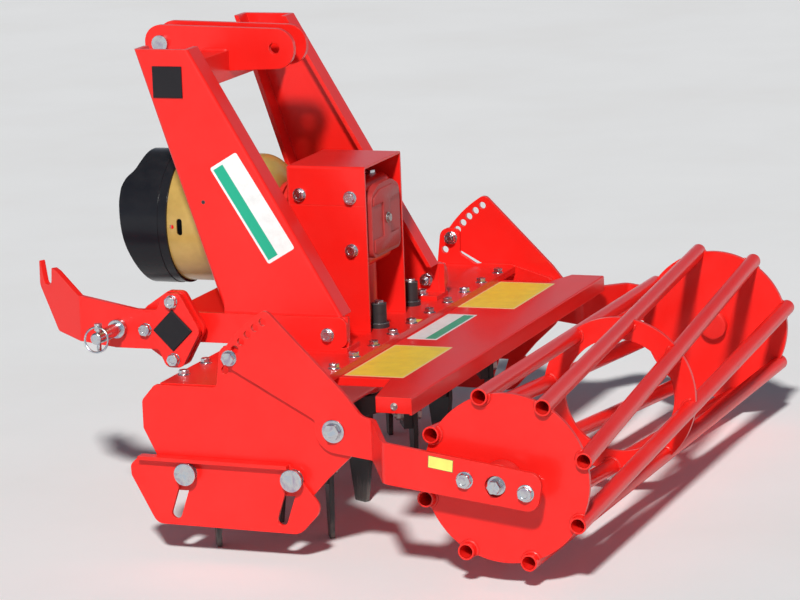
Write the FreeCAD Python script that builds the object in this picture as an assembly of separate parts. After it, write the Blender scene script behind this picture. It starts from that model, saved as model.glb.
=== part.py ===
import FreeCAD, Part
import math
import os
from FreeCAD import Rotation, Vector

# A tractor-mounted power harrow with five vertical rotors and a tube roller behind them.
#
# Everything is drawn in the machine's own frame, in millimetres: X to the machine's right,
# Y forward towards the tractor from the line of rotor shafts, Z up from the tine tips.
# The last section moves the origin below the middle of the machine and writes the pieces.

# ---------------------------------------------------------------- driving dimensions

# rotors and their blades
rotor_count = 5
rotor_pitch = 200.0
rotor_line = -8.0            # the rotor shafts stand a little behind the middle of the trough
blade_setback = 6.7          # from halfway between two shafts to the middle of a blade's thickness
blade_thickness = 8.0
blade_top_width = 60.0
blade_tip_width = 28.0
blade_shoulder = 92.0        # height at which the blade starts to taper
blade_length = 150.0
rotor_phases = (119.0, -29.0)  # odd and even rotors, degrees from +X
shaft_radius = 20.0
hub_radius = 38.0
hub_thickness = 11.0
holder_width = 52.0
holder_depth = 22.0
lug_depth = 54.0
lug_thickness = 16.0

# gear trough
trough_end_room = 18.0       # beyond half a pitch outside the end rotors
trough_half_width = 101.0
trough_above_blades = 50.0
trough_depth = 75.0
trough_sheet = 6.0
flange_width = 21.0
front_flange_extra = 10.0      # the front flange is this much wider than the rear one
cover_thickness = 6.0
bend_radius = 6.0
bearing_flange_radius = 62.0
bearing_boss_radius = 42.0
bearing_boss_depth = 34.0
bearing_flange_thickness = 12.0
train_clearance = 8.0
train_height = 34.0

# side plates
side_thickness = 8.0
side_drop = 163.0            # from the underside of the trough's flange

# rear hood
hood_sheet = 4.0
hood_depth = 170.0
hood_left_setback = 23.0     # the hood stops short of the left side plate
hood_arm_clearance = 7.0     # and runs up to the right roller arm
deck_left_setback = 146.0
deck_right_setback = 68.0
deck_depth = 88.0
hood_step_setback = 21.0
hood_rear_lip = 28.0
hood_side_lip = 14.0

# headstock
upright_outer = 240.0        # outer face of the upright's web
upright_sheet = 8.0
upright_depth = 45.0
headstock_height = 502.5     # above the trough cover
upright_top_front = 278.0
upright_top_rear = 180.0
upright_foot_front = 134.0
upright_foot_rear = -77.0
foot_height = 59.0
foot_tube_overlap = 17.0
foot_rear = -88.0
foot_base_width = 42.0
tube_size = 50.0
tube_wall = 4.0
cap_thickness = 3.0
cap_lip = 1.5
upper_tube_y = 218.0
upper_tube_below_top = 54.5
lower_tube_y = 207.0
lower_tube_height = 36.0     # above the trough cover
hitch_overhang = 52.0        # of the lower tube, outside an upright

# top link bracket
ear_inner = 24.0
ear_thickness = 10.0
ear_hole_radius = 9.75
ear_rear_reach = 109.0       # the two holes, behind and ahead of the upper tube and above it
ear_rear_rise = 29.5
ear_front_reach = 101.0
ear_front_rise = 36.0
top_pin_radius = 9.5
top_pin_head_radius = 14.5
top_pin_head = 8.0
top_pin_tail = 20.0

# lower hitch
clamp_plate = 10.0
clamp_gap = 12.0
clamp_bolt_room = 14.145     # from the tube's edge to the middle of a clamp bolt
clamp_lobe = 14.0
hitch_arm_rise = 34.0        # the hitch arm's edges, its bend and its pin, from the lower tube
hitch_arm_drop = 33.0
hitch_bend_reach = 167.0
horn_angle = 30.0
hitch_pin_reach = 99.0
hitch_pin_rise = 1.0
hitch_pin_radius = 11.0
hitch_seat_length = 58.0
hitch_tip_length = 24.0
hitch_tip_radius = 10.0
collar_radius = 14.5
collar_length = 12.0
lynch_radius = 4.0
lynch_ring_radius = 21.0
lynch_wire_radius = 1.8
lynch_from_tip = 13.0

# gearbox, its guard and the drive shaft shield
shaft_above_cover = 177.0
box_half_width = 64.0
box_rear = -58.0
box_front = 62.0
box_below_shaft = 72.0
box_above_shaft = 76.0
box_rounding = 14.0
column_radius = 46.0
column_flange_radius = 56.0
column_flange = 12.0
neck_radius = 50.0
neck_ring_radius = 64.0
neck_end = 196.0
rear_cover_lap = 3.0
rear_cover_below_shaft = 54.0
rear_cover_above_shaft = 70.0
rear_cover_thickness = 13.0
guard_sheet = 4.0
guard_side_gap = 19.6        # between the gearbox and its guard
guard_rear_reach = 10.0
guard_front_reach = 14.0
guard_top_rise = 32.0
guard_seam_drop = 35.0
guard_boss_radius = 11.0
input_radius = 17.45
input_length = 95.0
spline_count = 6
spline_depth = 2.5
spline_width = 8.7
cup_radius = 111.5
cup_sheet = 3.0
cup_relief = 3.0             # the cup is notched over the lower tube
cup_length = 102.0
cup_shoulder_reach = 84.0       # back from the neck's end to the cup's seat on the neck
cup_shoulder_length = 53.0
cup_flange_radius = 66.0
cup_slot_setback = 31.0
cup_slot_width = 10.0
cup_slot_height = 29.0
cup_hole_setback = 17.0
cup_hole_radius = 3.8
bell_wall = 5.5
bell_overlap = 8.0
bell_length = 89.0
bell_band = 16.0
bell_step = 1.0
bell_dip = 19.0
plug_radius = 13.0
plug_height = 42.0

# roller
roller_reach = 308.0         # from the arms' pivot back and down to the roller's axle
roller_drop = 47.0
roller_tube_circle = 135.5
roller_tube_radius = 13.45
roller_tube_wall = 2.6
roller_tube_count = 8
roller_phase = 15.7          # first tube at the left end, degrees from rearward towards up
roller_twist = 43.5
tube_overhang = 12.0         # of a roller tube beyond its disc
disc_arm_gap = 44.0
disc_thickness = 8.0
ring_setback = 1.5
ring_width = 37.0
ring_thickness = 8.0
weld_gap = 0.2
axle_radius = 15.0
axle_boss_radius = 19.0
axle_boss = 14.0

# roller arms
arm_thickness = 8.0
plate_gap = 1.0              # running gap between the side plate and what lies on it
pivot_reach = 51.0           # behind the trough's flange
pivot_drop = 50.0            # below the flange
arm_offset = 110.0           # sideways, of the joggle
joggle_reach = 67.0
joggle_length = 59.0
sector_radius = 222.0
stop_radius = 207.0
stop_first = 56.5            # highest hole, degrees above the forward direction
stop_pitch = 4.75
stop_count = 6
stop_spare = 1.5             # second hole in the side plate, in pitches below the first
stop_hole_radius = 6.5
pivot_bolt_radius = 8.0
lock_bolt_radius = 6.0
bearing_bolt_reach = 50.0
bearing_thickness = 30.0
arm_slope = 9.0

# side deflectors
deflector_thickness = 6.0
deflector_lip = 20.0
slot_travel = 73.0
slot_angle = 18.8            # slots lean forward towards their lower end
slot_radius = 9.0
deflector_bolt_radius = 7.0
deflector_bolt_height = 32.0  # above the bottom of the side plate
deflector_front_bolt = 83.0
deflector_rear_bolt = -102.0

pin_clearance = 0.3

# ---------------------------------------------------------------- drawing helpers


def box(x, y, z):
    """A block from three (low, high) pairs."""
    return Part.makeBox(x[1] - x[0], y[1] - y[0], z[1] - z[0], Vector(x[0], y[0], z[0]))


def rod(start, end, radius):
    """A round bar between two points."""
    start = Vector(*start)
    along = Vector(*end) - start
    return Part.makeCylinder(radius, along.Length, start, along)


def pipe(start, end, outer, inner):
    return rod(start, end, outer).cut(rod(start, end, inner))


def in_space(axis, level, a, b):
    """A point of a drawing plane: across x it holds (y, z), across y (x, z), across z (x, y)."""
    if axis == "x":
        return Vector(level, a, b)
    if axis == "y":
        return Vector(a, level, b)
    return Vector(a, b, level)


def prism(corners, axis, low, high):
    """A closed outline of (a, b, rounding) corners, extruded along an axis."""
    count = len(corners)
    points = [Vector(c[0], c[1], 0) for c in corners]
    legs = []
    for i, corner in enumerate(corners):
        radius = corner[2] if len(corner) > 2 else 0.0
        here = points[i]
        back = (points[i - 1] - here).normalize()
        ahead = (points[(i + 1) % count] - here).normalize()
        if radius <= 0:
            legs.append((here, None, here))
            continue
        half = back.getAngle(ahead) / 2
        reach = radius / math.tan(half)
        middle = (back + ahead).normalize()
        centre = here + middle * (radius / math.sin(half))
        legs.append((here + back * reach, centre - middle * radius, here + ahead * reach))
    edges = []
    for i, (enter, top, leave) in enumerate(legs):
        if top is not None:
            arc = [in_space(axis, low, p.x, p.y) for p in (enter, top, leave)]
            edges.append(Part.Arc(*arc).toShape())
        following = legs[(i + 1) % count][0]
        if (following - leave).Length > 1e-6:
            ends = [in_space(axis, low, p.x, p.y) for p in (leave, following)]
            edges.append(Part.LineSegment(*ends).toShape())
    face = Part.Face(Part.Wire(edges))
    return face.extrude(in_space(axis, high - low, 0, 0))


def strip(path, thickness, bend):
    """The outline of a folded sheet from the middle line of its section."""
    points = [Vector(a, b, 0) for a, b in path]
    sides = []
    for side in (1, -1):
        line = []
        for i, here in enumerate(points):
            before = (here - points[i - 1]).normalize() if i else None
            after = (points[i + 1] - here).normalize() if i + 1 < len(points) else None
            first = before or after
            second = after or before
            n1 = Vector(-first.y, first.x, 0)
            n2 = Vector(-second.y, second.x, 0)
            miter = (n1 + n2) / (1 + n1.dot(n2))
            spot = here + miter * (side * thickness / 2)
            turn = first.x * second.y - first.y * second.x
            rounding = 0.0
            if before and after:
                rounding = bend if turn * side > 0 else bend + thickness
            line.append((spot.x, spot.y, rounding))
        sides.append(line)
    return sides[0] + sides[1][::-1]


def hexagon(x, y, z, across, height):
    """A hexagon head whose bolt runs along X, standing from x by height."""
    radius = across / math.sqrt(3)
    corners = [(y + radius * math.cos(math.radians(60 * k)), z + radius * math.sin(math.radians(60 * k)))
               for k in range(6)]
    return prism(corners, "x", x, x + height)


def mirrored(shape):
    return shape.mirror(Vector(0, 0, 0), Vector(1, 0, 0))


def round_edges(shape, radius, wanted):
    """Round the edges for which wanted(edge) holds."""
    return shape.makeFillet(radius, [edge for edge in shape.Edges if wanted(edge)])


def runs_along(edge, axis):
    if len(edge.Vertexes) != 2 or not isinstance(edge.Curve, (Part.Line, Part.LineSegment)):
        return False
    span = edge.Vertexes[1].Point - edge.Vertexes[0].Point
    return abs(abs(span.dot(axis)) - span.Length) < 1e-6


pieces = {}


def pair(name, right):
    """Store a right-hand piece and its mirror image."""
    pieces[name + "_right"] = right
    pieces[name + "_left"] = mirrored(right)


# ---------------------------------------------------------------- gear trough

trough_half_length = rotor_count / 2 * rotor_pitch + trough_end_room
flange_half_width = trough_half_width + flange_width
flange_front = flange_half_width + front_flange_extra
trough_floor = blade_length + trough_above_blades
flange_bottom = trough_floor + trough_depth
flange_top = flange_bottom + trough_sheet
cover_top = flange_top + cover_thickness
floor_top = trough_floor + trough_sheet
rotor_spots = [(i - (rotor_count - 1) / 2) * rotor_pitch for i in range(rotor_count)]
spigot_radius = 31.7
train_bottom = floor_top + bend_radius

trough_path = [(-flange_half_width, flange_bottom + trough_sheet / 2),
               (-trough_half_width + trough_sheet / 2, flange_bottom + trough_sheet / 2),
               (-trough_half_width + trough_sheet / 2, trough_floor + trough_sheet / 2),
               (trough_half_width - trough_sheet / 2, trough_floor + trough_sheet / 2),
               (trough_half_width - trough_sheet / 2, flange_bottom + trough_sheet / 2),
               (flange_front, flange_bottom + trough_sheet / 2)]
trough = prism(strip(trough_path, trough_sheet, bend_radius), "x",
               -trough_half_length, trough_half_length)
housings = []
for x in rotor_spots:
    y = rotor_line
    trough = trough.cut(rod((x, y, trough_floor - 1), (x, y, floor_top + 1), spigot_radius + pin_clearance))
    boss_bottom = trough_floor - bearing_boss_depth
    flange_low = trough_floor - bearing_flange_thickness
    housing = rod((x, y, boss_bottom), (x, y, trough_floor), bearing_boss_radius)
    housing = housing.fuse(rod((x, y, flange_low), (x, y, trough_floor), bearing_flange_radius))
    housing = housing.fuse(rod((x, y, flange_low), (x, y, train_bottom), spigot_radius))
    housing = housing.cut(rod((x, y, boss_bottom - 1), (x, y, train_bottom + 1),
                              shaft_radius + pin_clearance))
    housings.append(housing.removeSplitter())
pieces["gear_trough"] = trough
pieces["rotor_bearings"] = Part.makeCompound(housings)
pieces["trough_cover"] = box((-trough_half_length, trough_half_length),
                             (-flange_half_width, flange_front), (flange_top, cover_top))
train_reach = rotor_spots[-1] + rotor_pitch / 2 - train_clearance
train_half_width = trough_half_width - trough_sheet - train_clearance
pieces["gear_train"] = box((-train_reach, train_reach), (-train_half_width, train_half_width),
                           (train_bottom, train_bottom + train_height))

# ---------------------------------------------------------------- side plates

side_inner = trough_half_length
side_outer = side_inner + side_thickness
side_bottom = flange_bottom - side_drop
side_front = flange_front + 30.0
pivot_y = -flange_half_width - pivot_reach
pivot_z = flange_bottom - pivot_drop
deflector_row = side_bottom + deflector_bolt_height
deflector_bolts_yz = ((deflector_front_bolt, deflector_row), (deflector_rear_bolt, deflector_row - 1.0))


def stop_point(pitches):
    """A hole of the depth stop, counted in pitches down from the highest."""
    angle = math.radians(stop_first - pitches * stop_pitch)
    return (pivot_y + stop_radius * math.cos(angle), pivot_z + stop_radius * math.sin(angle))


lock_y, lock_z = stop_point(stop_count - 1)
spare_y, spare_z = stop_point(stop_count - 1 + stop_spare)
ear_top = lock_z + 21.0


def sector_edge(y):
    """The height of the straight front edge of an arm's sector."""
    return pivot_z + 17 + (y - pivot_y - 32) * 0.549


side_outline = [(side_front, cover_top - 74, 12), (side_front, cover_top - 28, 12),
                (side_front - 23, cover_top - 2, 8), (lock_y + 29, cover_top - 2, 8),
                (lock_y + 20, ear_top, 18),
                (lock_y - 16, ear_top - 6, 8), (lock_y - 16, sector_edge(lock_y - 16) - 3, 4),
                (pivot_y + 128, sector_edge(pivot_y + 128) - 5), (pivot_y + 60, cover_top + 4, 12),
                (pivot_y - 30, pivot_z + 38, 30),
                (pivot_y - 30, pivot_z - 38, 30), (pivot_y + 16, pivot_z - 81, 20),
                (pivot_y + 45, side_bottom, 20), (side_front - 50, side_bottom, 14)]
side = prism(side_outline, "x", side_inner, side_outer)
side_holes = [(pivot_y, pivot_z, pivot_bolt_radius), (lock_y, lock_z, stop_hole_radius),
              (spare_y, spare_z, stop_hole_radius)]
side_holes += [(y, z, deflector_bolt_radius) for y, z in deflector_bolts_yz]
for y, z, radius in side_holes:
    side = side.cut(rod((side_inner - 1, y, z), (side_outer + 1, y, z), radius))
pair("side_plate", side)

# ---------------------------------------------------------------- rear hood

hood_top = flange_bottom
hood_low = hood_top - hood_sheet
hood_front = -trough_half_width - bend_radius - 3.0
hood_rear = -flange_half_width - hood_depth
hood_step = -flange_half_width - deck_depth
hood_side_front = hood_step - hood_step_setback
hood_left = -trough_half_length + hood_left_setback
hood_right = side_outer + plate_gap - hood_arm_clearance
deck_left = -trough_half_length + deck_left_setback
deck_right = trough_half_length - deck_right_setback
hood_plan = [(deck_right, hood_front), (deck_right, hood_step), (hood_right, hood_side_front),
             (hood_right, hood_rear), (hood_left, hood_rear), (hood_left, hood_side_front),
             (deck_left, hood_step), (deck_left, hood_front)]
hood = prism(hood_plan, "z", hood_low, hood_top)
hood = hood.fuse(box((hood_left, hood_right), (hood_rear, hood_rear + hood_sheet),
                     (hood_top - hood_rear_lip, hood_top)))
lip_hole_y = hood_rear + 30.0
lip_hole_z = hood_top - 15.0
for hood_end, deck_end, inward in ((hood_left, deck_left, hood_sheet),
                                   (hood_right, deck_right, -hood_sheet)):
    ends = sorted((hood_end, hood_end + inward))
    lip = box(ends, (hood_rear + hood_sheet / 2, hood_side_front), (hood_top - hood_rear_lip + 2, hood_top))
    lip = lip.cut(rod((ends[0] - 1, lip_hole_y, lip_hole_z), (ends[1] + 1, lip_hole_y, lip_hole_z), 3.5))
    deck_lip = box(sorted((deck_end, deck_end + inward)), (hood_step, hood_front),
                   (hood_top - hood_side_lip, hood_top))
    hood = hood.fuse(lip).fuse(deck_lip)
hood = hood.removeSplitter()
hood = round_edges(hood, hood_sheet * 0.8, lambda e: runs_along(e, Vector(1, 0, 0))
                   and abs(e.CenterOfMass.y - hood_rear) < 0.1 and abs(e.CenterOfMass.z - hood_top) < 0.1)
pieces["rear_hood"] = hood

# ---------------------------------------------------------------- rotors

blade_circle = rotor_pitch / 2 - blade_setback
for number, x in enumerate(rotor_spots, start=1):
    hub_top = trough_floor - bearing_boss_depth - 5.0
    hub_bottom = hub_top - hub_thickness
    holder_bottom = blade_length - holder_depth
    lug_bottom = blade_length - lug_depth
    lug_face = blade_circle - blade_thickness / 2
    rotor = rod((0, 0, hub_bottom), (0, 0, train_bottom - 5.0), shaft_radius)
    rotor = rotor.fuse(rod((0, 0, holder_bottom), (0, 0, hub_top), hub_radius))
    rotor = rotor.fuse(box((-lug_face, lug_face), (-holder_width / 2, holder_width / 2),
                           (holder_bottom, blade_length)))
    blade_side = [(-blade_top_width / 2, blade_length, 6), (-blade_top_width / 2, blade_shoulder, 40),
                  (-blade_tip_width / 2, 0, 3), (blade_tip_width / 2, 0, 3),
                  (blade_top_width / 2, blade_shoulder, 40), (blade_top_width / 2, blade_length, 6)]
    blades = []
    for end in (-1, 1):
        lug = box(sorted((end * (lug_face - lug_thickness), end * lug_face)),
                  (-holder_width / 2, holder_width / 2), (lug_bottom, blade_length))
        rotor = rotor.fuse(lug)
        span = sorted((end * lug_face, end * (lug_face + blade_thickness)))
        blades.append(prism(blade_side, "x", span[0], span[1]))
    rotor = rotor.removeSplitter()
    turned = Rotation(Vector(0, 0, 1), rotor_phases[(number - 1) % 2])
    for name, shape in (("rotor_%d" % number, rotor), ("blades_%d" % number, Part.makeCompound(blades))):
        placed = shape.copy()
        placed.Placement = FreeCAD.Placement(Vector(x, rotor_line, 0), turned)
        pieces[name] = placed

# ---------------------------------------------------------------- headstock

web_inner = upright_outer - upright_sheet
upright_top = cover_top + headstock_height
foot_top = cover_top + foot_height
upper_tube_z = upright_top - upper_tube_below_top
lower_tube_z = cover_top + lower_tube_height
lower_tube_half_length = upright_outer + hitch_overhang


def upright_edge(front, z):
    """The Y of the upright's front or rear edge at a height."""
    foot, top = (upright_foot_front, upright_top_front) if front else (upright_foot_rear, upright_top_rear)
    return foot + (top - foot) * (z - foot_top) / (upright_top - foot_top)


base_top = cover_top + upright_sheet
half_tube = tube_size / 2
web = prism([(upright_edge(False, upright_top), upright_top, 6),
             (upright_edge(True, upright_top), upright_top, 6), (upright_foot_front, foot_top),
             (upright_foot_front, base_top), (upright_foot_rear, base_top), (upright_foot_rear, foot_top)],
            "x", web_inner, upright_outer)
flanges = []
for front in (True, False):
    inward = -upright_sheet if front else upright_sheet
    lean = [(upright_edge(front, foot_top), foot_top), (upright_edge(front, upright_top), upright_top),
            (upright_edge(front, upright_top) + inward, upright_top),
            (upright_edge(front, foot_top) + inward, foot_top)]
    flanges.append(prism(lean, "x", upright_outer - upright_depth, upright_outer))
upright = web.fuse(flanges).removeSplitter()


def outer_bend(edge):
    if len(edge.Vertexes) != 2:
        return False
    ends = [v.Point for v in edge.Vertexes]
    return all(abs(p.x - upright_outer) < 0.1 for p in ends) and abs(ends[0].z - ends[1].z) > 200


upright = round_edges(upright, upright_sheet * 0.8, outer_bend)
upper_tube_hole = box((upright_outer - upright_depth - 1, upright_outer + 1),
                      (upper_tube_y - half_tube, upper_tube_y + half_tube),
                      (upper_tube_z - half_tube, upper_tube_z + half_tube))
upright = upright.cut(upper_tube_hole)
pair("upright", upright)

half_diagonal = half_tube * math.sqrt(2)


def diamond(half, x_low, x_high):
    """A square bar on edge about the lower tube's centre line."""
    ways = ((0, 1), (1, 0), (0, -1), (-1, 0))
    corners = [(lower_tube_y + a * half, lower_tube_z + b * half) for a, b in ways]
    return prism(corners, "x", x_low, x_high)


foot_outer = upright_outer + upright_sheet
foot_front = lower_tube_y - foot_tube_overlap
foot = prism([(foot_rear, foot_top, 14), (foot_front, foot_top, 6), (foot_front, base_top, 6),
              (foot_rear, base_top, 14)], "x", upright_outer, foot_outer)
foot = foot.fuse(box((web_inner - foot_base_width, foot_outer), (foot_rear, flange_half_width - 4),
                     (cover_top, base_top)))
foot = foot.fuse(box((web_inner, upright_outer), (foot_rear, upright_foot_rear), (base_top, foot_top)))
foot = foot.cut(diamond(half_diagonal, web_inner - 1, foot_outer + 1)).removeSplitter()
pair("foot", foot)

upper_inside = half_tube - tube_wall
upper_tube = box((-upright_outer, upright_outer), (upper_tube_y - half_tube, upper_tube_y + half_tube),
                 (upper_tube_z - half_tube, upper_tube_z + half_tube))
upper_tube = upper_tube.cut(box((-upright_outer - 1, upright_outer + 1),
                                (upper_tube_y - upper_inside, upper_tube_y + upper_inside),
                                (upper_tube_z - upper_inside, upper_tube_z + upper_inside)))
pieces["upper_tube"] = upper_tube
inner_diagonal = upper_inside * math.sqrt(2)
lower_tube = diamond(half_diagonal, -lower_tube_half_length, lower_tube_half_length)
lower_tube = lower_tube.cut(diamond(inner_diagonal, -lower_tube_half_length - 1, lower_tube_half_length + 1))
pieces["lower_tube"] = lower_tube

cap_half = half_tube + cap_lip
upper_cap = box((upright_outer, upright_outer + cap_thickness),
                (upper_tube_y - cap_half, upper_tube_y + cap_half),
                (upper_tube_z - cap_half, upper_tube_z + cap_half))
upper_cap = round_edges(upper_cap, 1.5, lambda e: e.CenterOfMass.x > upright_outer + cap_thickness - 0.1)
lower_cap = diamond(half_diagonal, lower_tube_half_length, lower_tube_half_length + cap_thickness)
lower_cap = round_edges(lower_cap, 1.5,
                        lambda e: e.CenterOfMass.x > lower_tube_half_length + cap_thickness - 0.1)
pieces["tube_caps"] = Part.makeCompound([upper_cap, mirrored(upper_cap), lower_cap, mirrored(lower_cap)])

# ---------------------------------------------------------------- top link bracket

tube_rear = upper_tube_y - half_tube
tube_front = upper_tube_y + half_tube
tube_top = upper_tube_z + half_tube
rear_hole_y = upper_tube_y - ear_rear_reach
rear_hole_z = upper_tube_z + ear_rear_rise
pin_y = upper_tube_y + ear_front_reach
pin_z = upper_tube_z + ear_front_rise
ear = prism([(rear_hole_y - 36, rear_hole_z - 34, 33), (rear_hole_y - 36, rear_hole_z + 33, 33),
             (pin_y + 30, pin_z + 32, 29), (pin_y + 30, pin_z - 30, 29), (tube_front, pin_z - 30),
             (tube_front, tube_top), (tube_rear, tube_top), (tube_rear, tube_top - 35)],
            "x", ear_inner, ear_inner + ear_thickness)
for y, z in ((rear_hole_y, rear_hole_z), (pin_y, pin_z)):
    ear = ear.cut(rod((0, y, z), (100, y, z), ear_hole_radius))
pair("top_link_ear", ear)

ear_outer = ear_inner + ear_thickness
top_pin = rod((-ear_outer, pin_y, pin_z), (ear_outer + top_pin_tail, pin_y, pin_z), top_pin_radius)
top_pin = top_pin.fuse(rod((-ear_outer - top_pin_head, pin_y, pin_z), (-ear_outer, pin_y, pin_z),
                           top_pin_head_radius))
clip_x = ear_outer + top_pin_tail / 2
top_pin = top_pin.fuse(rod((clip_x, pin_y, pin_z - 20), (clip_x, pin_y, pin_z + 20), 3.0)).removeSplitter()
pieces["top_link_pin"] = top_pin

# ---------------------------------------------------------------- lower hitch

hitch_outer = lower_tube_half_length
hitch_inner = hitch_outer - clamp_plate
clamp_inner = hitch_inner - clamp_gap - clamp_plate
clamp_bolt_circle = half_diagonal + clamp_bolt_room
hitch_arm_top = lower_tube_z + hitch_arm_rise
hitch_arm_bottom = lower_tube_z - hitch_arm_drop
hitch_bend_y = lower_tube_y + hitch_bend_reach
hitch_pin_y = lower_tube_y + hitch_pin_reach
hitch_pin_z = lower_tube_z + hitch_pin_rise
lobe_top = lower_tube_z + clamp_bolt_circle + clamp_lobe
lobe_bottom = lower_tube_z - clamp_bolt_circle - clamp_lobe
clamp_front = lower_tube_y + clamp_bolt_circle + clamp_lobe
clamp_rear = lower_tube_y - half_diagonal - clamp_lobe
clamp_bolts = [(lower_tube_y + a * clamp_bolt_circle, lower_tube_z + b * clamp_bolt_circle)
               for a, b in ((0, 1), (1, 0), (0, -1))]
behind = [(lower_tube_y + clamp_lobe, lobe_bottom, 13), (lower_tube_y - clamp_lobe, lobe_bottom, 13),
          (clamp_rear, lower_tube_z, 14), (lower_tube_y - clamp_lobe, lobe_top, 13),
          (lower_tube_y + clamp_lobe, lobe_top, 13)]
plate = prism(behind + [(lower_tube_y + 28, hitch_arm_top, 6), (lower_tube_y + 66, hitch_arm_top, 20),
                        (hitch_bend_y, hitch_arm_top + 19), (hitch_bend_y, hitch_arm_bottom + 8),
                        (hitch_pin_y + 6, hitch_arm_bottom, 10), (lower_tube_y + 28, hitch_arm_bottom, 6)],
              "x", hitch_inner, hitch_outer)
notch_bottom = hitch_arm_top + 27
horn = prism([(hitch_bend_y, hitch_arm_top + 19), (hitch_bend_y + 61, hitch_arm_top + 53, 4),
              (hitch_bend_y + 76, hitch_arm_top + 58, 1.5), (hitch_bend_y + 79, notch_bottom, 8),
              (hitch_bend_y + 100, notch_bottom, 8), (hitch_bend_y + 112, hitch_arm_top + 76, 1.5),
              (hitch_bend_y + 113, hitch_arm_top + 24, 16), (hitch_bend_y + 63, hitch_arm_bottom + 17, 8),
              (hitch_bend_y, hitch_arm_bottom + 8)], "x", hitch_inner, hitch_outer)
horn.rotate(Vector(hitch_inner, hitch_bend_y, 0), Vector(0, 0, 1), horn_angle)
knuckle = rod((hitch_inner, hitch_bend_y, hitch_arm_bottom + 8),
              (hitch_inner, hitch_bend_y, hitch_arm_top + 19), clamp_plate)
knuckle = knuckle.common(box((hitch_inner, hitch_outer + 5), (hitch_bend_y, hitch_bend_y + 50),
                             (hitch_arm_bottom, hitch_arm_top + 50)))
plate = plate.fuse([horn, knuckle]).removeSplitter()
plate = plate.cut(diamond(half_diagonal, hitch_inner - 1, hitch_outer + 1))
collar = rod((hitch_outer, hitch_pin_y, hitch_pin_z),
             (hitch_outer + collar_length, hitch_pin_y, hitch_pin_z), collar_radius)
plate = plate.fuse(collar)
pin_start = (hitch_inner - 8, hitch_pin_y, hitch_pin_z)
pin_shoulder = (hitch_outer + collar_length + hitch_seat_length, hitch_pin_y, hitch_pin_z)
pin_end = (pin_shoulder[0] + hitch_tip_length, hitch_pin_y, hitch_pin_z)
plate = plate.cut(rod(pin_start, pin_end, hitch_pin_radius))
pair("hitch_plate", plate.removeSplitter())

clamp = prism(behind + [(clamp_front, lower_tube_z + 30, 24), (clamp_front, lower_tube_z - 30, 24)],
              "x", clamp_inner, clamp_inner + clamp_plate)
clamp = clamp.fuse([rod((clamp_inner, y, z), (hitch_inner, y, z), clamp_lobe - 1) for y, z in clamp_bolts])
clamp = clamp.cut(diamond(half_diagonal, clamp_inner - 1, hitch_inner + 1))
pair("hitch_clamp", clamp.removeSplitter())

hitch_pin = rod(pin_start, pin_shoulder, hitch_pin_radius)
hitch_pin = hitch_pin.fuse(rod(pin_start, pin_end, hitch_tip_radius)).removeSplitter()
hitch_pin = round_edges(hitch_pin, 3.0,
                        lambda e: abs(e.CenterOfMass.x - pin_end[0]) < 0.1 and len(e.Vertexes) < 2)
lynch_x = pin_end[0] - lynch_from_tip
hitch_pin = hitch_pin.cut(rod((lynch_x, hitch_pin_y, hitch_pin_z - 20),
                              (lynch_x, hitch_pin_y, hitch_pin_z + 20), lynch_radius + pin_clearance))
pair("hitch_pin", hitch_pin)

lynch = rod((lynch_x, hitch_pin_y, hitch_pin_z - 22), (lynch_x, hitch_pin_y, hitch_pin_z + 18), lynch_radius)
lynch = lynch.fuse(rod((lynch_x, hitch_pin_y, hitch_pin_z + 12),
                       (lynch_x, hitch_pin_y, hitch_pin_z + 24), 6.5))
ring = Part.makeTorus(lynch_ring_radius, lynch_wire_radius,
                      Vector(lynch_x + 9, hitch_pin_y, hitch_pin_z - 2), Vector(1, 0, 0.16))
lynch = lynch.fuse(rod((lynch_x, hitch_pin_y, hitch_pin_z + 19),
                       (lynch_x + 8, hitch_pin_y, hitch_pin_z + 19), 3.0))
lynch = lynch.fuse(ring)
pieces["lynch_pins"] = Part.makeCompound([lynch, mirrored(lynch)])

# ---------------------------------------------------------------- gearbox and its guard

shaft_height = cover_top + shaft_above_cover
box_bottom = shaft_height - box_below_shaft
box_top = shaft_height + box_above_shaft
guard_half_width = box_half_width + guard_side_gap + guard_sheet
guard_rear = box_rear - guard_rear_reach
guard_front = box_front + guard_front_reach
guard_seam = box_top - guard_seam_drop
guard_top = box_top + guard_top_rise
guard_bolts = ((box_front - 10.4, box_top - 18.0), (box_rear + 17.6, box_top - 21.0),
               (box_rear + 18.0, box_bottom + 36.0))
gearbox = box((-box_half_width, box_half_width), (box_rear, box_front), (box_bottom, box_top))
gearbox = gearbox.makeFillet(box_rounding, gearbox.Edges)
gearbox = gearbox.fuse([
    rod((0, 0, cover_top), (0, 0, box_bottom + box_rounding), column_radius),
    rod((0, 0, cover_top), (0, 0, cover_top + column_flange), column_flange_radius),
    rod((0, box_front - box_rounding, shaft_height), (0, neck_end, shaft_height), neck_radius),
    rod((0, neck_end - cup_shoulder_reach - 20, shaft_height),
        (0, neck_end - cup_shoulder_reach - 12, shaft_height), neck_ring_radius),
    rod((0, neck_end - cup_shoulder_reach - 8, shaft_height),
        (0, neck_end - cup_shoulder_reach, shaft_height), neck_ring_radius)])
guard_inside = guard_half_width - guard_sheet
gearbox = gearbox.fuse([rod((-guard_inside, y, z), (guard_inside, y, z), guard_boss_radius)
                        for y, z in guard_bolts])
gearbox = gearbox.cut(rod((0, neck_end - 40, shaft_height), (0, neck_end + 1, shaft_height),
                          input_radius + pin_clearance))
pieces["gearbox"] = gearbox.removeSplitter()

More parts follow.
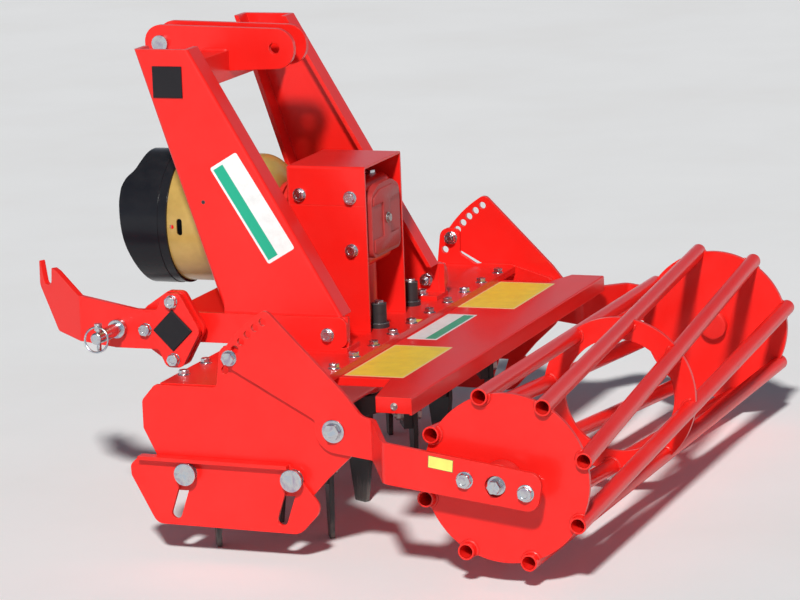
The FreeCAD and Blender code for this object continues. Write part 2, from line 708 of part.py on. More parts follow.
cover_rear = box_rear - rear_cover_thickness
rear_cover_half_width = box_half_width + rear_cover_lap
rear_cover_low = shaft_height - rear_cover_below_shaft
rear_cover_high = shaft_height + rear_cover_above_shaft
rear_cover = prism([(-rear_cover_half_width, rear_cover_low, 16),
                    (rear_cover_half_width, rear_cover_low, 16),
                    (rear_cover_half_width, rear_cover_high - 16, 20), (30, rear_cover_high, 50),
                    (-30, rear_cover_high, 50), (-rear_cover_half_width, rear_cover_high - 16, 20)],
                   "y", cover_rear, box_rear)
rear_cover = rear_cover.fuse(rod((0, cover_rear - 3, shaft_height + 7),
                                 (0, cover_rear, shaft_height + 7), 8.0))
pieces["gearbox_rear_cover"] = rear_cover

guard_mid = guard_half_width - guard_sheet / 2
guard_path = [(-guard_mid, guard_rear), (-guard_mid, guard_front - guard_sheet / 2),
              (guard_mid, guard_front - guard_sheet / 2), (guard_mid, guard_rear)]
guard_plan = strip(guard_path, guard_sheet, 3.0)
neck_hole = rod((0, guard_front - 20, shaft_height), (0, guard_front + 20, shaft_height),
                neck_ring_radius + 3)
pieces["gearbox_guard"] = prism(guard_plan, "z", cover_top, guard_seam).cut(neck_hole)
guard_outline = [(-guard_half_width, guard_rear), (-guard_half_width, guard_front, 7),
                 (guard_half_width, guard_front, 7), (guard_half_width, guard_rear)]
guard_cap = prism(guard_outline, "z", guard_seam, guard_top)
guard_cap = round_edges(guard_cap, 5.0, lambda e: e.CenterOfMass.z > guard_top - 0.1
                        and e.CenterOfMass.y > guard_rear + 0.1)
inside = [(-guard_inside, guard_rear - 1), (-guard_inside, guard_front - guard_sheet, 3),
          (guard_inside, guard_front - guard_sheet, 3), (guard_inside, guard_rear - 1)]
guard_cap = guard_cap.cut(prism(inside, "z", guard_seam - 1, guard_top - guard_sheet))
pieces["guard_cap"] = guard_cap.cut(neck_hole)

plugs = []
for x, y in ((-38.0, -66.0), (150.0, -54.0)):
    plug = rod((x, y, cover_top), (x, y, cover_top + plug_height), plug_radius)
    plug = plug.fuse(rod((x, y, cover_top), (x, y, cover_top + 8), plug_radius + 4))
    plugs.append(plug.removeSplitter())
pieces["oil_plugs"] = Part.makeCompound(plugs)

# ---------------------------------------------------------------- input shaft and shield

shaft_start = neck_end - 40 + pin_clearance
shaft_end = neck_end + input_length
input_shaft = rod((0, shaft_start, shaft_height), (0, shaft_end, shaft_height), input_radius)
input_shaft = round_edges(input_shaft, 2.0, lambda e: abs(e.CenterOfMass.y - shaft_end) < 0.1)
for k in range(spline_count):
    groove = box((-spline_width / 2, spline_width / 2), (neck_end + 12, shaft_end + 1),
                 (shaft_height + input_radius - spline_depth, shaft_height + input_radius + 5))
    groove.rotate(Vector(0, 0, shaft_height), Vector(0, 1, 0), k * 360 / spline_count)
    input_shaft = input_shaft.cut(groove)
pieces["input_shaft"] = input_shaft

cup_front = neck_end + cup_length
cup_slot_y = cup_front - cup_slot_setback
cup_hole_y = cup_front - cup_hole_setback
cup_rear = neck_end - cup_shoulder_reach
shoulder_front = cup_rear + cup_shoulder_length


def cup_point(share, inset):
    """A point (radius, Y) of the rounded shoulder, a quarter of an ellipse from 0 at its rear to 1."""
    turn = math.radians(90 * share)
    rise = cup_radius - cup_flange_radius - inset
    return Vector(cup_flange_radius + rise * math.sin(turn),
                  shoulder_front - (cup_shoulder_length - inset) * math.cos(turn), 0)


outer_arc = Part.Arc(cup_point(0, 0), cup_point(0.5, 0), cup_point(1, 0)).toShape()
inner_arc = Part.Arc(cup_point(1, cup_sheet), cup_point(0.5, cup_sheet), cup_point(0, cup_sheet)).toShape()
seat_inner = Vector(neck_radius + pin_clearance, cup_rear + cup_sheet, 0)
seat_outer = Vector(neck_radius + pin_clearance, cup_rear, 0)
section = Part.Wire([outer_arc, Part.makeLine(cup_point(1, 0), cup_point(1, cup_sheet)), inner_arc,
                     Part.makeLine(cup_point(0, cup_sheet), seat_inner), Part.makeLine(seat_inner, seat_outer),
                     Part.makeLine(seat_outer, cup_point(0, 0))])
shoulder = Part.Face(section).revolve(Vector(0, 0, 0), Vector(0, 1, 0), 360)
shoulder.translate(Vector(0, 0, shaft_height))
cup = pipe((0, neck_end, shaft_height), (0, cup_front, shaft_height), cup_radius, cup_radius - cup_sheet)
cup = cup.fuse(pipe((0, shoulder_front, shaft_height), (0, neck_end + 1, shaft_height),
                    cup_radius, cup_radius - cup_sheet))
cup = cup.fuse(shoulder)
cup = cup.cut(box((-cup_radius - 5, cup_radius + 5),
                  (cup_slot_y - cup_slot_width / 2, cup_slot_y + cup_slot_width / 2),
                  (shaft_height - cup_slot_height / 2 + 5, shaft_height + cup_slot_height / 2 - 5)))
for z in (shaft_height - cup_slot_height / 2 + 5, shaft_height + cup_slot_height / 2 - 5):
    cup = cup.cut(rod((-cup_radius - 5, cup_slot_y, z), (cup_radius + 5, cup_slot_y, z), cup_slot_width / 2))
cup = cup.cut(rod((-cup_radius - 5, cup_hole_y, shaft_height), (cup_radius + 5, cup_hole_y, shaft_height),
                  cup_hole_radius))
relief = diamond(half_diagonal + cup_relief, -lower_tube_half_length, lower_tube_half_length)
pieces["shield_cup"] = cup.cut(relief).removeSplitter()

bell_inner = cup_radius + pin_clearance
bell_radius = cup_radius + bell_wall
bell_rear = cup_front - bell_overlap
bell_front = bell_rear + bell_length
bell = pipe((0, bell_rear, shaft_height), (0, bell_front, shaft_height), bell_radius - bell_step, bell_inner)
bell = bell.fuse(pipe((0, bell_rear + bell_band, shaft_height), (0, bell_front, shaft_height),
                      bell_radius, bell_inner))
bell_top = shaft_height + bell_radius
bell_low = shaft_height - bell_radius


def bell_cutter(curve, corner_z):
    """What is cut from the bell's front: all in front of a smooth curve of (Y, Z) points."""
    spline = Part.BSplineCurve()
    spline.interpolate([Vector(0, y, z) for y, z in curve])
    corners = [Vector(0, curve[-1][0], curve[-1][1]), Vector(0, bell_front + 20, curve[-1][1]),
               Vector(0, bell_front + 20, corner_z), Vector(0, curve[0][0], corner_z)]
    if abs(corner_z - curve[0][1]) > 0.1:
        corners.append(Vector(0, curve[0][0], curve[0][1]))
    outline = Part.Wire([spline.toShape(), Part.makePolygon(corners)])
    cutter = Part.Face(outline).extrude(Vector(2 * bell_radius + 40, 0, 0))
    cutter.translate(Vector(-bell_radius - 20, 0, 0))
    return cutter


top_cut = bell_cutter([(bell_front - bell_dip, bell_top + 12),
                       (bell_front - bell_dip, bell_top - 18),
                       (bell_front - 0.8 * bell_dip, bell_top - 27),
                       (bell_front - 0.36 * bell_dip, bell_top - 36),
                       (bell_front - 2.3, bell_top - 45),
                       (bell_front + 1, bell_top - 62)], bell_top + 12)
low_cut = bell_cutter([(bell_front - 1.45 * bell_dip, bell_low - 12),
                       (bell_front - 1.24 * bell_dip, bell_low + 19),
                       (bell_front - 0.9 * bell_dip, bell_low + 50),
                       (bell_front - 9, bell_low + 85),
                       (bell_front - 2.7, shaft_height + 16),
                       (bell_front + 1, shaft_height + 52)], bell_low - 12)
pieces["shield_bell"] = bell.cut(top_cut).cut(low_cut).removeSplitter()

# ---------------------------------------------------------------- side deflectors

deflector_inner = side_outer + plate_gap
deflector_outer = deflector_inner + deflector_thickness
slope = math.radians(slot_angle)
slot_dy = slot_travel * math.sin(slope)
slot_dz = -slot_travel * math.cos(slope)
front_y = deflector_front_bolt
rear_y = deflector_rear_bolt
row = deflector_row
deflector_outline = [(front_y + 102, row + 8, 12), (front_y + 101, row - 9, 14),
                     (front_y + 59, row - 88, 20), (rear_y - 6, row - 93, 26),
                     (rear_y - 40.5, row - 56, 22), (rear_y - 40.5, row - 41, 18),
                     (rear_y + 8.5, row + 22, 4), (front_y + 83, row + 26, 4)]
deflector = prism(deflector_outline, "x", deflector_inner, deflector_outer)
lip_path = [(rear_y + 8.5, row + 22), (front_y + 83, row + 26),
            (front_y + 83, row + 26 - deflector_thickness), (rear_y + 8.5, row + 22 - deflector_thickness)]
deflector = deflector.fuse(prism(lip_path, "x", deflector_inner + 1, deflector_inner + deflector_lip))
for y, z in deflector_bolts_yz:
    across = math.radians(slot_angle)
    side_y = slot_radius * math.cos(across)
    side_z = slot_radius * math.sin(across)
    sides = [(y - side_y, z - side_z), (y + side_y, z + side_z),
             (y + slot_dy + side_y, z + slot_dz + side_z), (y + slot_dy - side_y, z + slot_dz - side_z)]
    slot = prism(sides, "x", deflector_inner - 1, deflector_outer + 1)
    for end_y, end_z in ((y, z), (y + slot_dy, z + slot_dz)):
        slot = slot.fuse(rod((deflector_inner - 1, end_y, end_z), (deflector_outer + 1, end_y, end_z),
                             slot_radius))
    deflector = deflector.cut(slot.removeSplitter())
pair("side_deflector", deflector.removeSplitter())

deflector_bolts = []
for y, z in deflector_bolts_yz:
    bolt = rod((side_inner, y, z), (deflector_outer + pin_clearance, y, z), deflector_bolt_radius)
    bolt = bolt.fuse(rod((deflector_outer + pin_clearance, y, z), (deflector_outer + 3, y, z), 16.0))
    bolt = bolt.fuse(hexagon(deflector_outer + 3, y, z, 22.0, 9.0)).removeSplitter()
    deflector_bolts += [bolt, mirrored(bolt)]
pieces["deflector_bolts"] = Part.makeCompound(deflector_bolts)

# ---------------------------------------------------------------- roller arms

sector_inner = side_outer + plate_gap
arm_inner = sector_inner + arm_offset
arm_outer = arm_inner + arm_thickness
roller_y = pivot_y - roller_reach
roller_z = pivot_z - roller_drop
joggle_front = pivot_y - joggle_reach
joggle_rear = joggle_front - joggle_length
sector_outer = sector_inner + arm_thickness
sector_mid = sector_inner + arm_thickness / 2
arm_mid = arm_inner + arm_thickness / 2
arm_tail = roller_y - 75
side_view = [(pivot_y + 32, pivot_z + 17, 6), (pivot_y + 235, pivot_z + 128.5),
             (pivot_y + 235, pivot_z + 275), (pivot_y + 190, pivot_z + 275),
             (pivot_y - 18, pivot_z + 63.5, 45), (pivot_y - 49, pivot_z + 24.5, 20),
             (arm_tail - 3, roller_z + 21.5, 20),
             (arm_tail + 8, roller_z - 39, 20), (pivot_y + 30, pivot_z - 32, 36)]
profile = prism(side_view, "x", sector_inner - 5, arm_outer + 5)
swing = rod((sector_inner - 5, pivot_y, pivot_z), (arm_outer + 5, pivot_y, pivot_z), sector_radius)
behind_pivot = box((sector_inner - 5, arm_outer + 5), (arm_tail - 50, pivot_y),
                   (roller_z - 150, pivot_z + 175))
profile = profile.common(swing.fuse(behind_pivot))


def sector_corner(edge):
    """The two corners where the sector's arc meets its straight edges."""
    if not runs_along(edge, Vector(1, 0, 0)):
        return False
    spot = edge.CenterOfMass
    far = math.hypot(spot.y - pivot_y, spot.z - pivot_z)
    return spot.y > pivot_y and abs(far - sector_radius) < 0.5


profile = round_edges(profile.removeSplitter(), 13.0, sector_corner)
plan_path = [(sector_mid, pivot_y + 273), (sector_mid, joggle_front), (arm_mid, joggle_rear),
             (arm_mid, arm_tail - 40)]
bent = prism(strip(plan_path, arm_thickness, arm_thickness), "z", roller_z - 128, pivot_z + 325)
arm = bent.common(profile)
arm = arm.cut(rod((sector_inner - 1, pivot_y, pivot_z), (sector_outer + 1, pivot_y, pivot_z),
                  pivot_bolt_radius + pin_clearance))
for k in range(stop_count):
    y, z = stop_point(k)
    arm = arm.cut(rod((sector_inner - 1, y, z), (sector_outer + 1, y, z), stop_hole_radius))
arm = arm.cut(rod((arm_inner - 1, roller_y, roller_z), (arm_outer + 1, roller_y, roller_z), axle_radius + 2))
pair("roller_arm", arm.removeSplitter())

tilt = math.radians(arm_slope)
lug_dy = bearing_bolt_reach * math.cos(tilt)
lug_dz = -bearing_bolt_reach * math.sin(tilt)
bearing_inner = arm_inner - bearing_thickness
bearing = rod((bearing_inner, roller_y, roller_z), (arm_inner, roller_y, roller_z), 34.0)
for end in (-1, 1):
    spot = (roller_y - end * lug_dy, roller_z + end * lug_dz)
    bearing = bearing.fuse(rod((bearing_inner + 6, spot[0], spot[1]), (arm_inner, spot[0], spot[1]), 15.0))
web_plate = prism([(roller_y - lug_dy - 15 * math.sin(tilt), roller_z + lug_dz + 15),
                   (roller_y + lug_dy - 15 * math.sin(tilt), roller_z - lug_dz + 15),
                   (roller_y + lug_dy + 15 * math.sin(tilt), roller_z - lug_dz - 15),
                   (roller_y - lug_dy + 15 * math.sin(tilt), roller_z + lug_dz - 15)],
                  "x", bearing_inner + 6, arm_inner)
bearing = bearing.fuse(web_plate)
bearing = bearing.cut(rod((bearing_inner - 1, roller_y, roller_z), (arm_inner + 1, roller_y, roller_z),
                          axle_radius + pin_clearance))
pair("roller_bearing", bearing.removeSplitter())

pivot_bolt = rod((side_inner - 8, pivot_y, pivot_z), (sector_outer + pin_clearance, pivot_y, pivot_z),
                 pivot_bolt_radius)
pivot_bolt = pivot_bolt.fuse(hexagon(side_inner - 14, pivot_y, pivot_z, 24.0, 14.0))
pivot_bolt = pivot_bolt.fuse(rod((sector_outer + pin_clearance, pivot_y, pivot_z),
                                 (sector_outer + 3, pivot_y, pivot_z), 17.0))
pivot_bolt = pivot_bolt.fuse(hexagon(sector_outer + 3, pivot_y, pivot_z, 24.0, 10.0)).removeSplitter()
pieces["pivot_bolts"] = Part.makeCompound([pivot_bolt, mirrored(pivot_bolt)])

lock_bolt = rod((sector_inner, lock_y, lock_z), (sector_outer, lock_y, lock_z), lock_bolt_radius)
lock_bolt = lock_bolt.fuse(rod((sector_outer, lock_y, lock_z), (sector_outer + 2.5, lock_y, lock_z), 13.0))
lock_bolt = lock_bolt.fuse(hexagon(sector_outer + 2.5, lock_y, lock_z, 19.0, 8.0)).removeSplitter()
pieces["lock_bolts"] = Part.makeCompound([lock_bolt, mirrored(lock_bolt)])

# ---------------------------------------------------------------- roller


def roller_point(x, angle, radius):
    """A point of the roller, its angle in degrees from rearward towards up."""
    turn = math.radians(angle)
    return (x, roller_y - radius * math.cos(turn), roller_z + radius * math.sin(turn))


disc_outer = arm_inner - disc_arm_gap
roller_half_length = disc_outer + tube_overhang
ring_outer = roller_tube_circle - ring_setback
ring_inner = ring_outer - ring_width
tubes = []
tube_seats = []
for k in range(roller_tube_count):
    start_angle = roller_phase + k * 360 / roller_tube_count
    left_end = roller_point(-roller_half_length, start_angle, roller_tube_circle)
    right_end = roller_point(roller_half_length, start_angle + roller_twist, roller_tube_circle)
    tubes.append(pipe(left_end, right_end, roller_tube_radius, roller_tube_radius - roller_tube_wall))
    tube_seats.append(rod(left_end, right_end, roller_tube_radius + weld_gap))
trim = box((-roller_half_length, roller_half_length), (roller_y - 300, roller_y + 300),
           (roller_z - 300, roller_z + 300))
pieces["roller_tubes"] = Part.makeCompound([tube.common(trim) for tube in tubes])

disc_inner = disc_outer - disc_thickness
for name, low, high in (("roller_disc_right", disc_inner, disc_outer),
                        ("roller_disc_left", -disc_outer, -disc_inner)):
    disc = rod((low, roller_y, roller_z), (high, roller_y, roller_z), roller_tube_circle)
    disc = disc.cut(rod((low - 1, roller_y, roller_z), (high + 1, roller_y, roller_z), axle_radius))
    pieces[name] = disc.cut(tube_seats)
ring_plate = pipe((-ring_thickness / 2, roller_y, roller_z), (ring_thickness / 2, roller_y, roller_z),
                  ring_outer, ring_inner)
pieces["roller_ring"] = ring_plate.cut(tube_seats)
axle = rod((disc_inner - axle_boss, roller_y, roller_z), (arm_inner + 2, roller_y, roller_z), axle_radius)
axle = axle.fuse(rod((disc_inner - axle_boss, roller_y, roller_z), (disc_inner, roller_y, roller_z),
                     axle_boss_radius))
axle = axle.fuse(hexagon(arm_inner + 2, roller_y, roller_z, 19.0, 16.0)).removeSplitter()
pieces["roller_axles"] = Part.makeCompound([axle, mirrored(axle)])

# ---------------------------------------------------------------- standing on the floor

# The tine tips stand on the floor and the roller hangs just above it from its arms.
extent = Part.makeCompound(list(pieces.values())).optimalBoundingBox(False, False)
shift = Vector(0, -(extent.YMin + extent.YMax) / 2, -extent.ZMin)
os.makedirs("parts", exist_ok=True)
for name, shape in pieces.items():
    shape.translate(shift)
    shape.exportStep("parts/%s.step" % name)
print("pieces %d, moved by y %.3f z %.3f" % (len(pieces), shift.y, shift.z))
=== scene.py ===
import math
import bpy
import numpy as np
from mathutils import Matrix, Vector


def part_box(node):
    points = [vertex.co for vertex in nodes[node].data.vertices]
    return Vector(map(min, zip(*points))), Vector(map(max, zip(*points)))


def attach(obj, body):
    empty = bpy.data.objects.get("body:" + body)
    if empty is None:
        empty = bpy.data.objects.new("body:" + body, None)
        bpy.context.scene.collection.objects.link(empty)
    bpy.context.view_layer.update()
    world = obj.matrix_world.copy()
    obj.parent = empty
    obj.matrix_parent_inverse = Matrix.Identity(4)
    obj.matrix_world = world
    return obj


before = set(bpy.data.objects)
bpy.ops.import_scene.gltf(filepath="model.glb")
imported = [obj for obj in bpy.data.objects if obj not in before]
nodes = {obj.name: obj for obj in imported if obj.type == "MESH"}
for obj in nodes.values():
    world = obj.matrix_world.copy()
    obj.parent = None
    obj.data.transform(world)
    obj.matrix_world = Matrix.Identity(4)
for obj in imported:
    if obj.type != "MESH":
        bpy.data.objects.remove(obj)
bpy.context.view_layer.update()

# ---------------------------------------------------------------- camera
# A long lens set low at the machine's left rear corner, about seven metres away and tipped
# slightly, so that the near side plate, the headstock and the whole roller are in view.

camera_lens = bpy.data.cameras.new("camera")
camera_lens.sensor_width = 36.0
camera_lens.lens = 174.6
camera_lens.clip_end = 200.0
camera = bpy.data.objects.new("camera", camera_lens)
bpy.context.scene.collection.objects.link(camera)
bpy.context.scene.camera = camera
camera_place = (-6.1021, -2.3394, 1.6378)
azimuth, elevation, roll = math.radians(-69.156), math.radians(11.350), math.radians(-2.139)
back = Vector((math.sin(azimuth) * math.cos(elevation), -math.cos(azimuth) * math.cos(elevation),
               math.sin(elevation)))
level_right = (-back).cross(Vector((0, 0, 1))).normalized()
level_up = level_right.cross(-back)
camera_right = level_right * math.cos(roll) + level_up * math.sin(roll)
camera_up = level_up * math.cos(roll) - level_right * math.sin(roll)
camera.matrix_world = Matrix.Translation(camera_place) @ Matrix(
    (camera_right, camera_up, back)).transposed().to_4x4()

# ---------------------------------------------------------------- yard and light
# A pale swept concrete yard, floated smooth and faintly clouded, under one softened light from
# high on the machine's left. The haze round it is pale at the horizon and dark overhead.

scene = bpy.context.scene
scene.view_settings.view_transform = "Standard"


def add(tree, kind, inputs=None, **settings):
    """Adds a node of that kind: inputs maps socket names to a value or to the socket that feeds them."""
    made = tree.nodes.new(kind)
    for key, value in settings.items():
        setattr(made, key, value)
    for key, value in (inputs or {}).items():
        if isinstance(value, bpy.types.NodeSocket):
            tree.links.new(value, made.inputs[key])
        else:
            made.inputs[key].default_value = value
    return made


def ramp(tree, factor, *stops):
    """A colour ramp through (position, colour) stops."""
    made = add(tree, "ShaderNodeValToRGB", {"Fac": factor})
    while len(made.color_ramp.elements) < len(stops):
        made.color_ramp.elements.new(0.5)
    for element, (position, colour) in zip(made.color_ramp.elements, stops):
        element.position = position
        element.color = (*colour, 1.0)
    return made.outputs["Color"]


def finish_named(name):
    """A new material with its node tree and its Principled shader."""
    made = bpy.data.materials.new(name)
    made.use_nodes = True
    return made, made.node_tree, made.node_tree.nodes["Principled BSDF"]


concrete, tree, shader = finish_named("swept concrete")
place = add(tree, "ShaderNodeTexCoord").outputs["Object"]
clouds = add(tree, "ShaderNodeTexNoise", {"Vector": place, "Scale": 1.7, "Detail": 6.0, "Roughness": 0.55})
grit = add(tree, "ShaderNodeTexNoise", {"Vector": place, "Scale": 160.0, "Detail": 3.0})
mottle = ramp(tree, clouds.outputs["Fac"], (0.32, (0.90, 0.90, 0.90)), (0.52, (0.92, 0.925, 0.93)),
              (0.72, (0.94, 0.945, 0.95)))
tree.links.new(add(tree, "ShaderNodeMix", {"Factor": 0.10, "A": mottle, "B": grit.outputs["Color"]},
                   data_type="RGBA", blend_type="SOFT_LIGHT").outputs["Result"], shader.inputs["Base Color"])
tree.links.new(add(tree, "ShaderNodeBump", {"Height": grit.outputs["Fac"], "Strength": 0.15,
                                            "Distance": 0.002}).outputs["Normal"], shader.inputs["Normal"])
shader.inputs["Roughness"].default_value = 0.9

yard_half = 60.0
yard_mesh = bpy.data.meshes.new("yard")
yard_mesh.from_pydata([(-yard_half, -yard_half, 0), (yard_half, -yard_half, 0), (yard_half, yard_half, 0),
                       (-yard_half, yard_half, 0)], [], [(0, 1, 2, 3)])
yard = bpy.data.objects.new("yard", yard_mesh)
yard.data.materials.append(concrete)
scene.collection.objects.link(yard)

sunlight = bpy.data.lights.new("sun", "SUN")
sunlight.energy = 3.5
sunlight.angle = math.radians(5.0)
sunlight.color = (1.0, 0.985, 0.955)
sun = bpy.data.objects.new("sun", sunlight)
sun.rotation_mode = "QUATERNION"
light_heading = Vector((1.2, 0.30, -1.0))
sun.rotation_quaternion = light_heading.to_track_quat("-Z", "Y")
scene.collection.objects.link(sun)

scene.world = bpy.data.worlds.new("open sky")
scene.world.use_nodes = True
sky = scene.world.node_tree
upward = add(sky, "ShaderNodeSeparateXYZ", {0: add(sky, "ShaderNodeTexCoord").outputs["Generated"]})
haze = ramp(sky, upward.outputs["Z"], (0.0, (0.85, 0.86, 0.88)), (0.075, (0.80, 0.83, 0.87)),
            (0.14, (0.30, 0.345, 0.42)), (0.55, (0.056, 0.064, 0.080)))
sky.links.new(haze, sky.nodes["Background"].inputs["Color"])
sky.nodes["Background"].inputs["Strength"].default_value = 1.0

# ---------------------------------------------------------------- red sheet metal
# The trough, plates, hood, headstock, hitch, guard, arms and roller are cut and folded steel,
# welded, blasted and powder coated in one glossy red. The film thins at edges and holds dust; the paler
# colour along the edges is partly that thinner film and partly painted highlight.

# Edge mask: real rubbing on plated parts, and in the powder coats a paler edge colour that is partly painted
# highlight.
edge_wear_and_highlight = bpy.data.node_groups.new("edge wear and highlight", "ShaderNodeTree")
edge_wear_and_highlight.interface.new_socket("Width", in_out="INPUT", socket_type="NodeSocketFloat")
edge_wear_and_highlight.interface.new_socket("Patch Scale", in_out="INPUT", socket_type="NodeSocketFloat")
edge_wear_and_highlight.interface.new_socket("Mask", in_out="OUTPUT", socket_type="NodeSocketFloat")
edge_wear_and_highlight.interface.new_socket("Rounded Normal", in_out="OUTPUT", socket_type="NodeSocketVector")
given = add(edge_wear_and_highlight, "NodeGroupInput")
rounded = add(edge_wear_and_highlight, "ShaderNodeBevel", {"Radius": given.outputs["Width"]}, samples=4)
flat = add(edge_wear_and_highlight, "ShaderNodeNewGeometry")
agree = add(edge_wear_and_highlight, "ShaderNodeVectorMath", {0: rounded.outputs["Normal"], 1: flat.outputs["Normal"]},
            operation="DOT_PRODUCT")
turned = add(edge_wear_and_highlight, "ShaderNodeMapRange", {"Value": agree.outputs["Value"], "From Min": 0.985,
                                               "From Max": 0.86, "To Min": 0.0, "To Max": 1.0})
patches = add(edge_wear_and_highlight, "ShaderNodeTexNoise", {
    "Vector": add(edge_wear_and_highlight, "ShaderNodeTexCoord").outputs["Object"], "Scale": given.outputs["Patch Scale"],
    "Detail": 5.0, "Roughness": 0.65})
kept = add(edge_wear_and_highlight, "ShaderNodeMapRange", {"Value": patches.outputs["Fac"], "From Min": 0.38,
                                             "From Max": 0.70, "To Min": 0.15, "To Max": 1.0})
worn = add(edge_wear_and_highlight, "ShaderNodeMath", {0: turned.outputs["Result"], 1: kept.outputs["Result"]},
           operation="MULTIPLY")
returned = add(edge_wear_and_highlight, "NodeGroupOutput")
edge_wear_and_highlight.links.new(worn.outputs["Value"], returned.inputs["Mask"])
edge_wear_and_highlight.links.new(rounded.outputs["Normal"], returned.inputs["Rounded Normal"])

yard_dust = bpy.data.node_groups.new("yard dust", "ShaderNodeTree")
yard_dust.interface.new_socket("Amount", in_out="INPUT", socket_type="NodeSocketFloat")
yard_dust.interface.new_socket("Patch Scale", in_out="INPUT", socket_type="NodeSocketFloat")
yard_dust.interface.new_socket("Mask", in_out="OUTPUT", socket_type="NodeSocketFloat")
given = add(yard_dust, "NodeGroupInput")
position = add(yard_dust, "ShaderNodeTexCoord").outputs["Object"]
surface = add(yard_dust, "ShaderNodeNewGeometry").outputs["Normal"]
facing = add(yard_dust, "ShaderNodeSeparateXYZ", {0: surface})
settled = add(yard_dust, "ShaderNodeMapRange", {"Value": facing.outputs["Z"], "From Min": 0.2,
                                                "From Max": 1.0, "To Min": 0.25, "To Max": 1.0})
blown = add(yard_dust, "ShaderNodeTexNoise", {"Vector": position, "Scale": given.outputs["Patch Scale"],
                                              "Detail": 8.0, "Roughness": 0.7})
thick = add(yard_dust, "ShaderNodeMapRange", {"Value": blown.outputs["Fac"], "From Min": 0.40,
                                              "From Max": 0.75})
laid = add(yard_dust, "ShaderNodeMath", {0: thick.outputs["Result"], 1: settled.outputs["Result"]},
           operation="MULTIPLY")
amount = add(yard_dust, "ShaderNodeMath", {0: laid.outputs["Value"], 1: given.outputs["Amount"]},
             operation="MULTIPLY")
returned = add(yard_dust, "NodeGroupOutput")
yard_dust.links.new(amount.outputs["Value"], returned.inputs["Mask"])


def powder_coat(name, colour, thin_film_and_highlight_colour, width, peel_scale, peel_strength, roughness):
    """A glossy powder coat: soft orange peel, a paler edge colour that is partly thinner film and partly
    painted highlight, faint clouding and dust.
    """
    made, tree, shader = finish_named(name)
    place = add(tree, "ShaderNodeTexCoord").outputs["Object"]
    edge = add(tree, "ShaderNodeGroup", {"Width": width, "Patch Scale": 38.0}, node_tree=edge_wear_and_highlight)
    dust = add(tree, "ShaderNodeGroup", {"Amount": 0.05, "Patch Scale": 9.0}, node_tree=yard_dust)
    cloud = add(tree, "ShaderNodeTexNoise", {"Vector": place, "Scale": 4.0, "Detail": 4.0})
    deeper = tuple(0.93 * c for c in colour)
    body = ramp(tree, cloud.outputs["Fac"], (0.35, deeper), (0.65, colour))
    # Paler colour along the edges: partly a thinner film, partly painted highlight.
    with_edge = add(tree, "ShaderNodeMix", {"Factor": edge.outputs["Mask"], "A": body,
                                            "B": (*thin_film_and_highlight_colour, 1.0)}, data_type="RGBA")
    with_dust = add(tree, "ShaderNodeMix", {"Factor": dust.outputs["Mask"], "A": with_edge.outputs["Result"],
                                            "B": (0.62, 0.52, 0.47, 1.0)}, data_type="RGBA")
    tree.links.new(with_dust.outputs["Result"], shader.inputs["Base Color"])
    gloss = add(tree, "ShaderNodeMapRange", {"Value": cloud.outputs["Fac"], "To Min": roughness - 0.05,
                                             "To Max": roughness + 0.08})
    dulled = add(tree, "ShaderNodeMath", {0: gloss.outputs["Result"], 1: dust.outputs["Mask"]},
                 operation="ADD")
    tree.links.new(dulled.outputs["Value"], shader.inputs["Roughness"])
    peel = add(tree, "ShaderNodeTexNoise", {"Vector": place, "Scale": peel_scale, "Detail": 3.0})
    skin = add(tree, "ShaderNodeBump", {"Height": peel.outputs["Fac"], "Strength": peel_strength,
                                        "Distance": 0.0006, "Normal": edge.outputs["Rounded Normal"]})
    tree.links.new(skin.outputs["Normal"], shader.inputs["Normal"])
    shader.inputs["Specular IOR Level"].default_value = 0.34
    shader.inputs["Coat Weight"].default_value = 0.18
    shader.inputs["Coat Roughness"].default_value = 0.12
    return made


def dress(material, *names):
    """Gives CAD nodes a material in all their slots."""
    for name in names:
        mesh = nodes[name].data
        mesh.materials.clear()
        mesh.materials.append(material)


both = ("left", "right")
red = (0.86, 0.013, 0.009)
red_sheet = powder_coat("red sheet", red, (0.92, 0.075, 0.05), 0.0016, 420.0, 0.10, 0.30)
dress(red_sheet, "gear_trough", "trough_cover", "rear_hood", "upper_tube", "lower_tube", "gearbox_guard",
      "guard_cap", "roller_ring", "roller_tubes", "roller_disc_left", "roller_disc_right")
dress(red_sheet, *[kind + side for side in both for kind in (
    "side_plate_", "upright_", "foot_", "top_link_ear_", "hitch_plate_", "hitch_clamp_", "side_deflector_",
    "roller_arm_")])

# ---------------------------------------------------------------- red castings
# The gearbox, its rear cover and the bearing housings are sand castings: the same red coat lies
# over a coarse skin, with softer edges than the cut sheet has. The rear cover and its rib take a
# darker copy of the coat, which is painted shade.

red_casting = powder_coat("red casting", (0.74, 0.016, 0.012), (0.82, 0.07, 0.05), 0.0030, 190.0, 0.55, 0.38)
# A darker, duller copy of the red casting coat: painted shade for the rear cover.
shaded_red_casting = powder_coat("red casting darkened as painted shade", (0.46, 0.034, 0.033), (0.58, 0.10, 0.09), 0.0034, 150.0,
                           0.70, 0.50)
dress(shaded_red_casting, "gearbox_rear_cover")
dress(red_casting, "gearbox", "rotor_bearings", "gear_train", "roller_bearing_left",
      "roller_bearing_right")

# ---------------------------------------------------------------- zinc fasteners
# Bolts, nuts, washers and pins are turned and forged steel with a bright passivated zinc
# plating, which shows faint blue, violet and straw tints and soon scuffs on its edges.


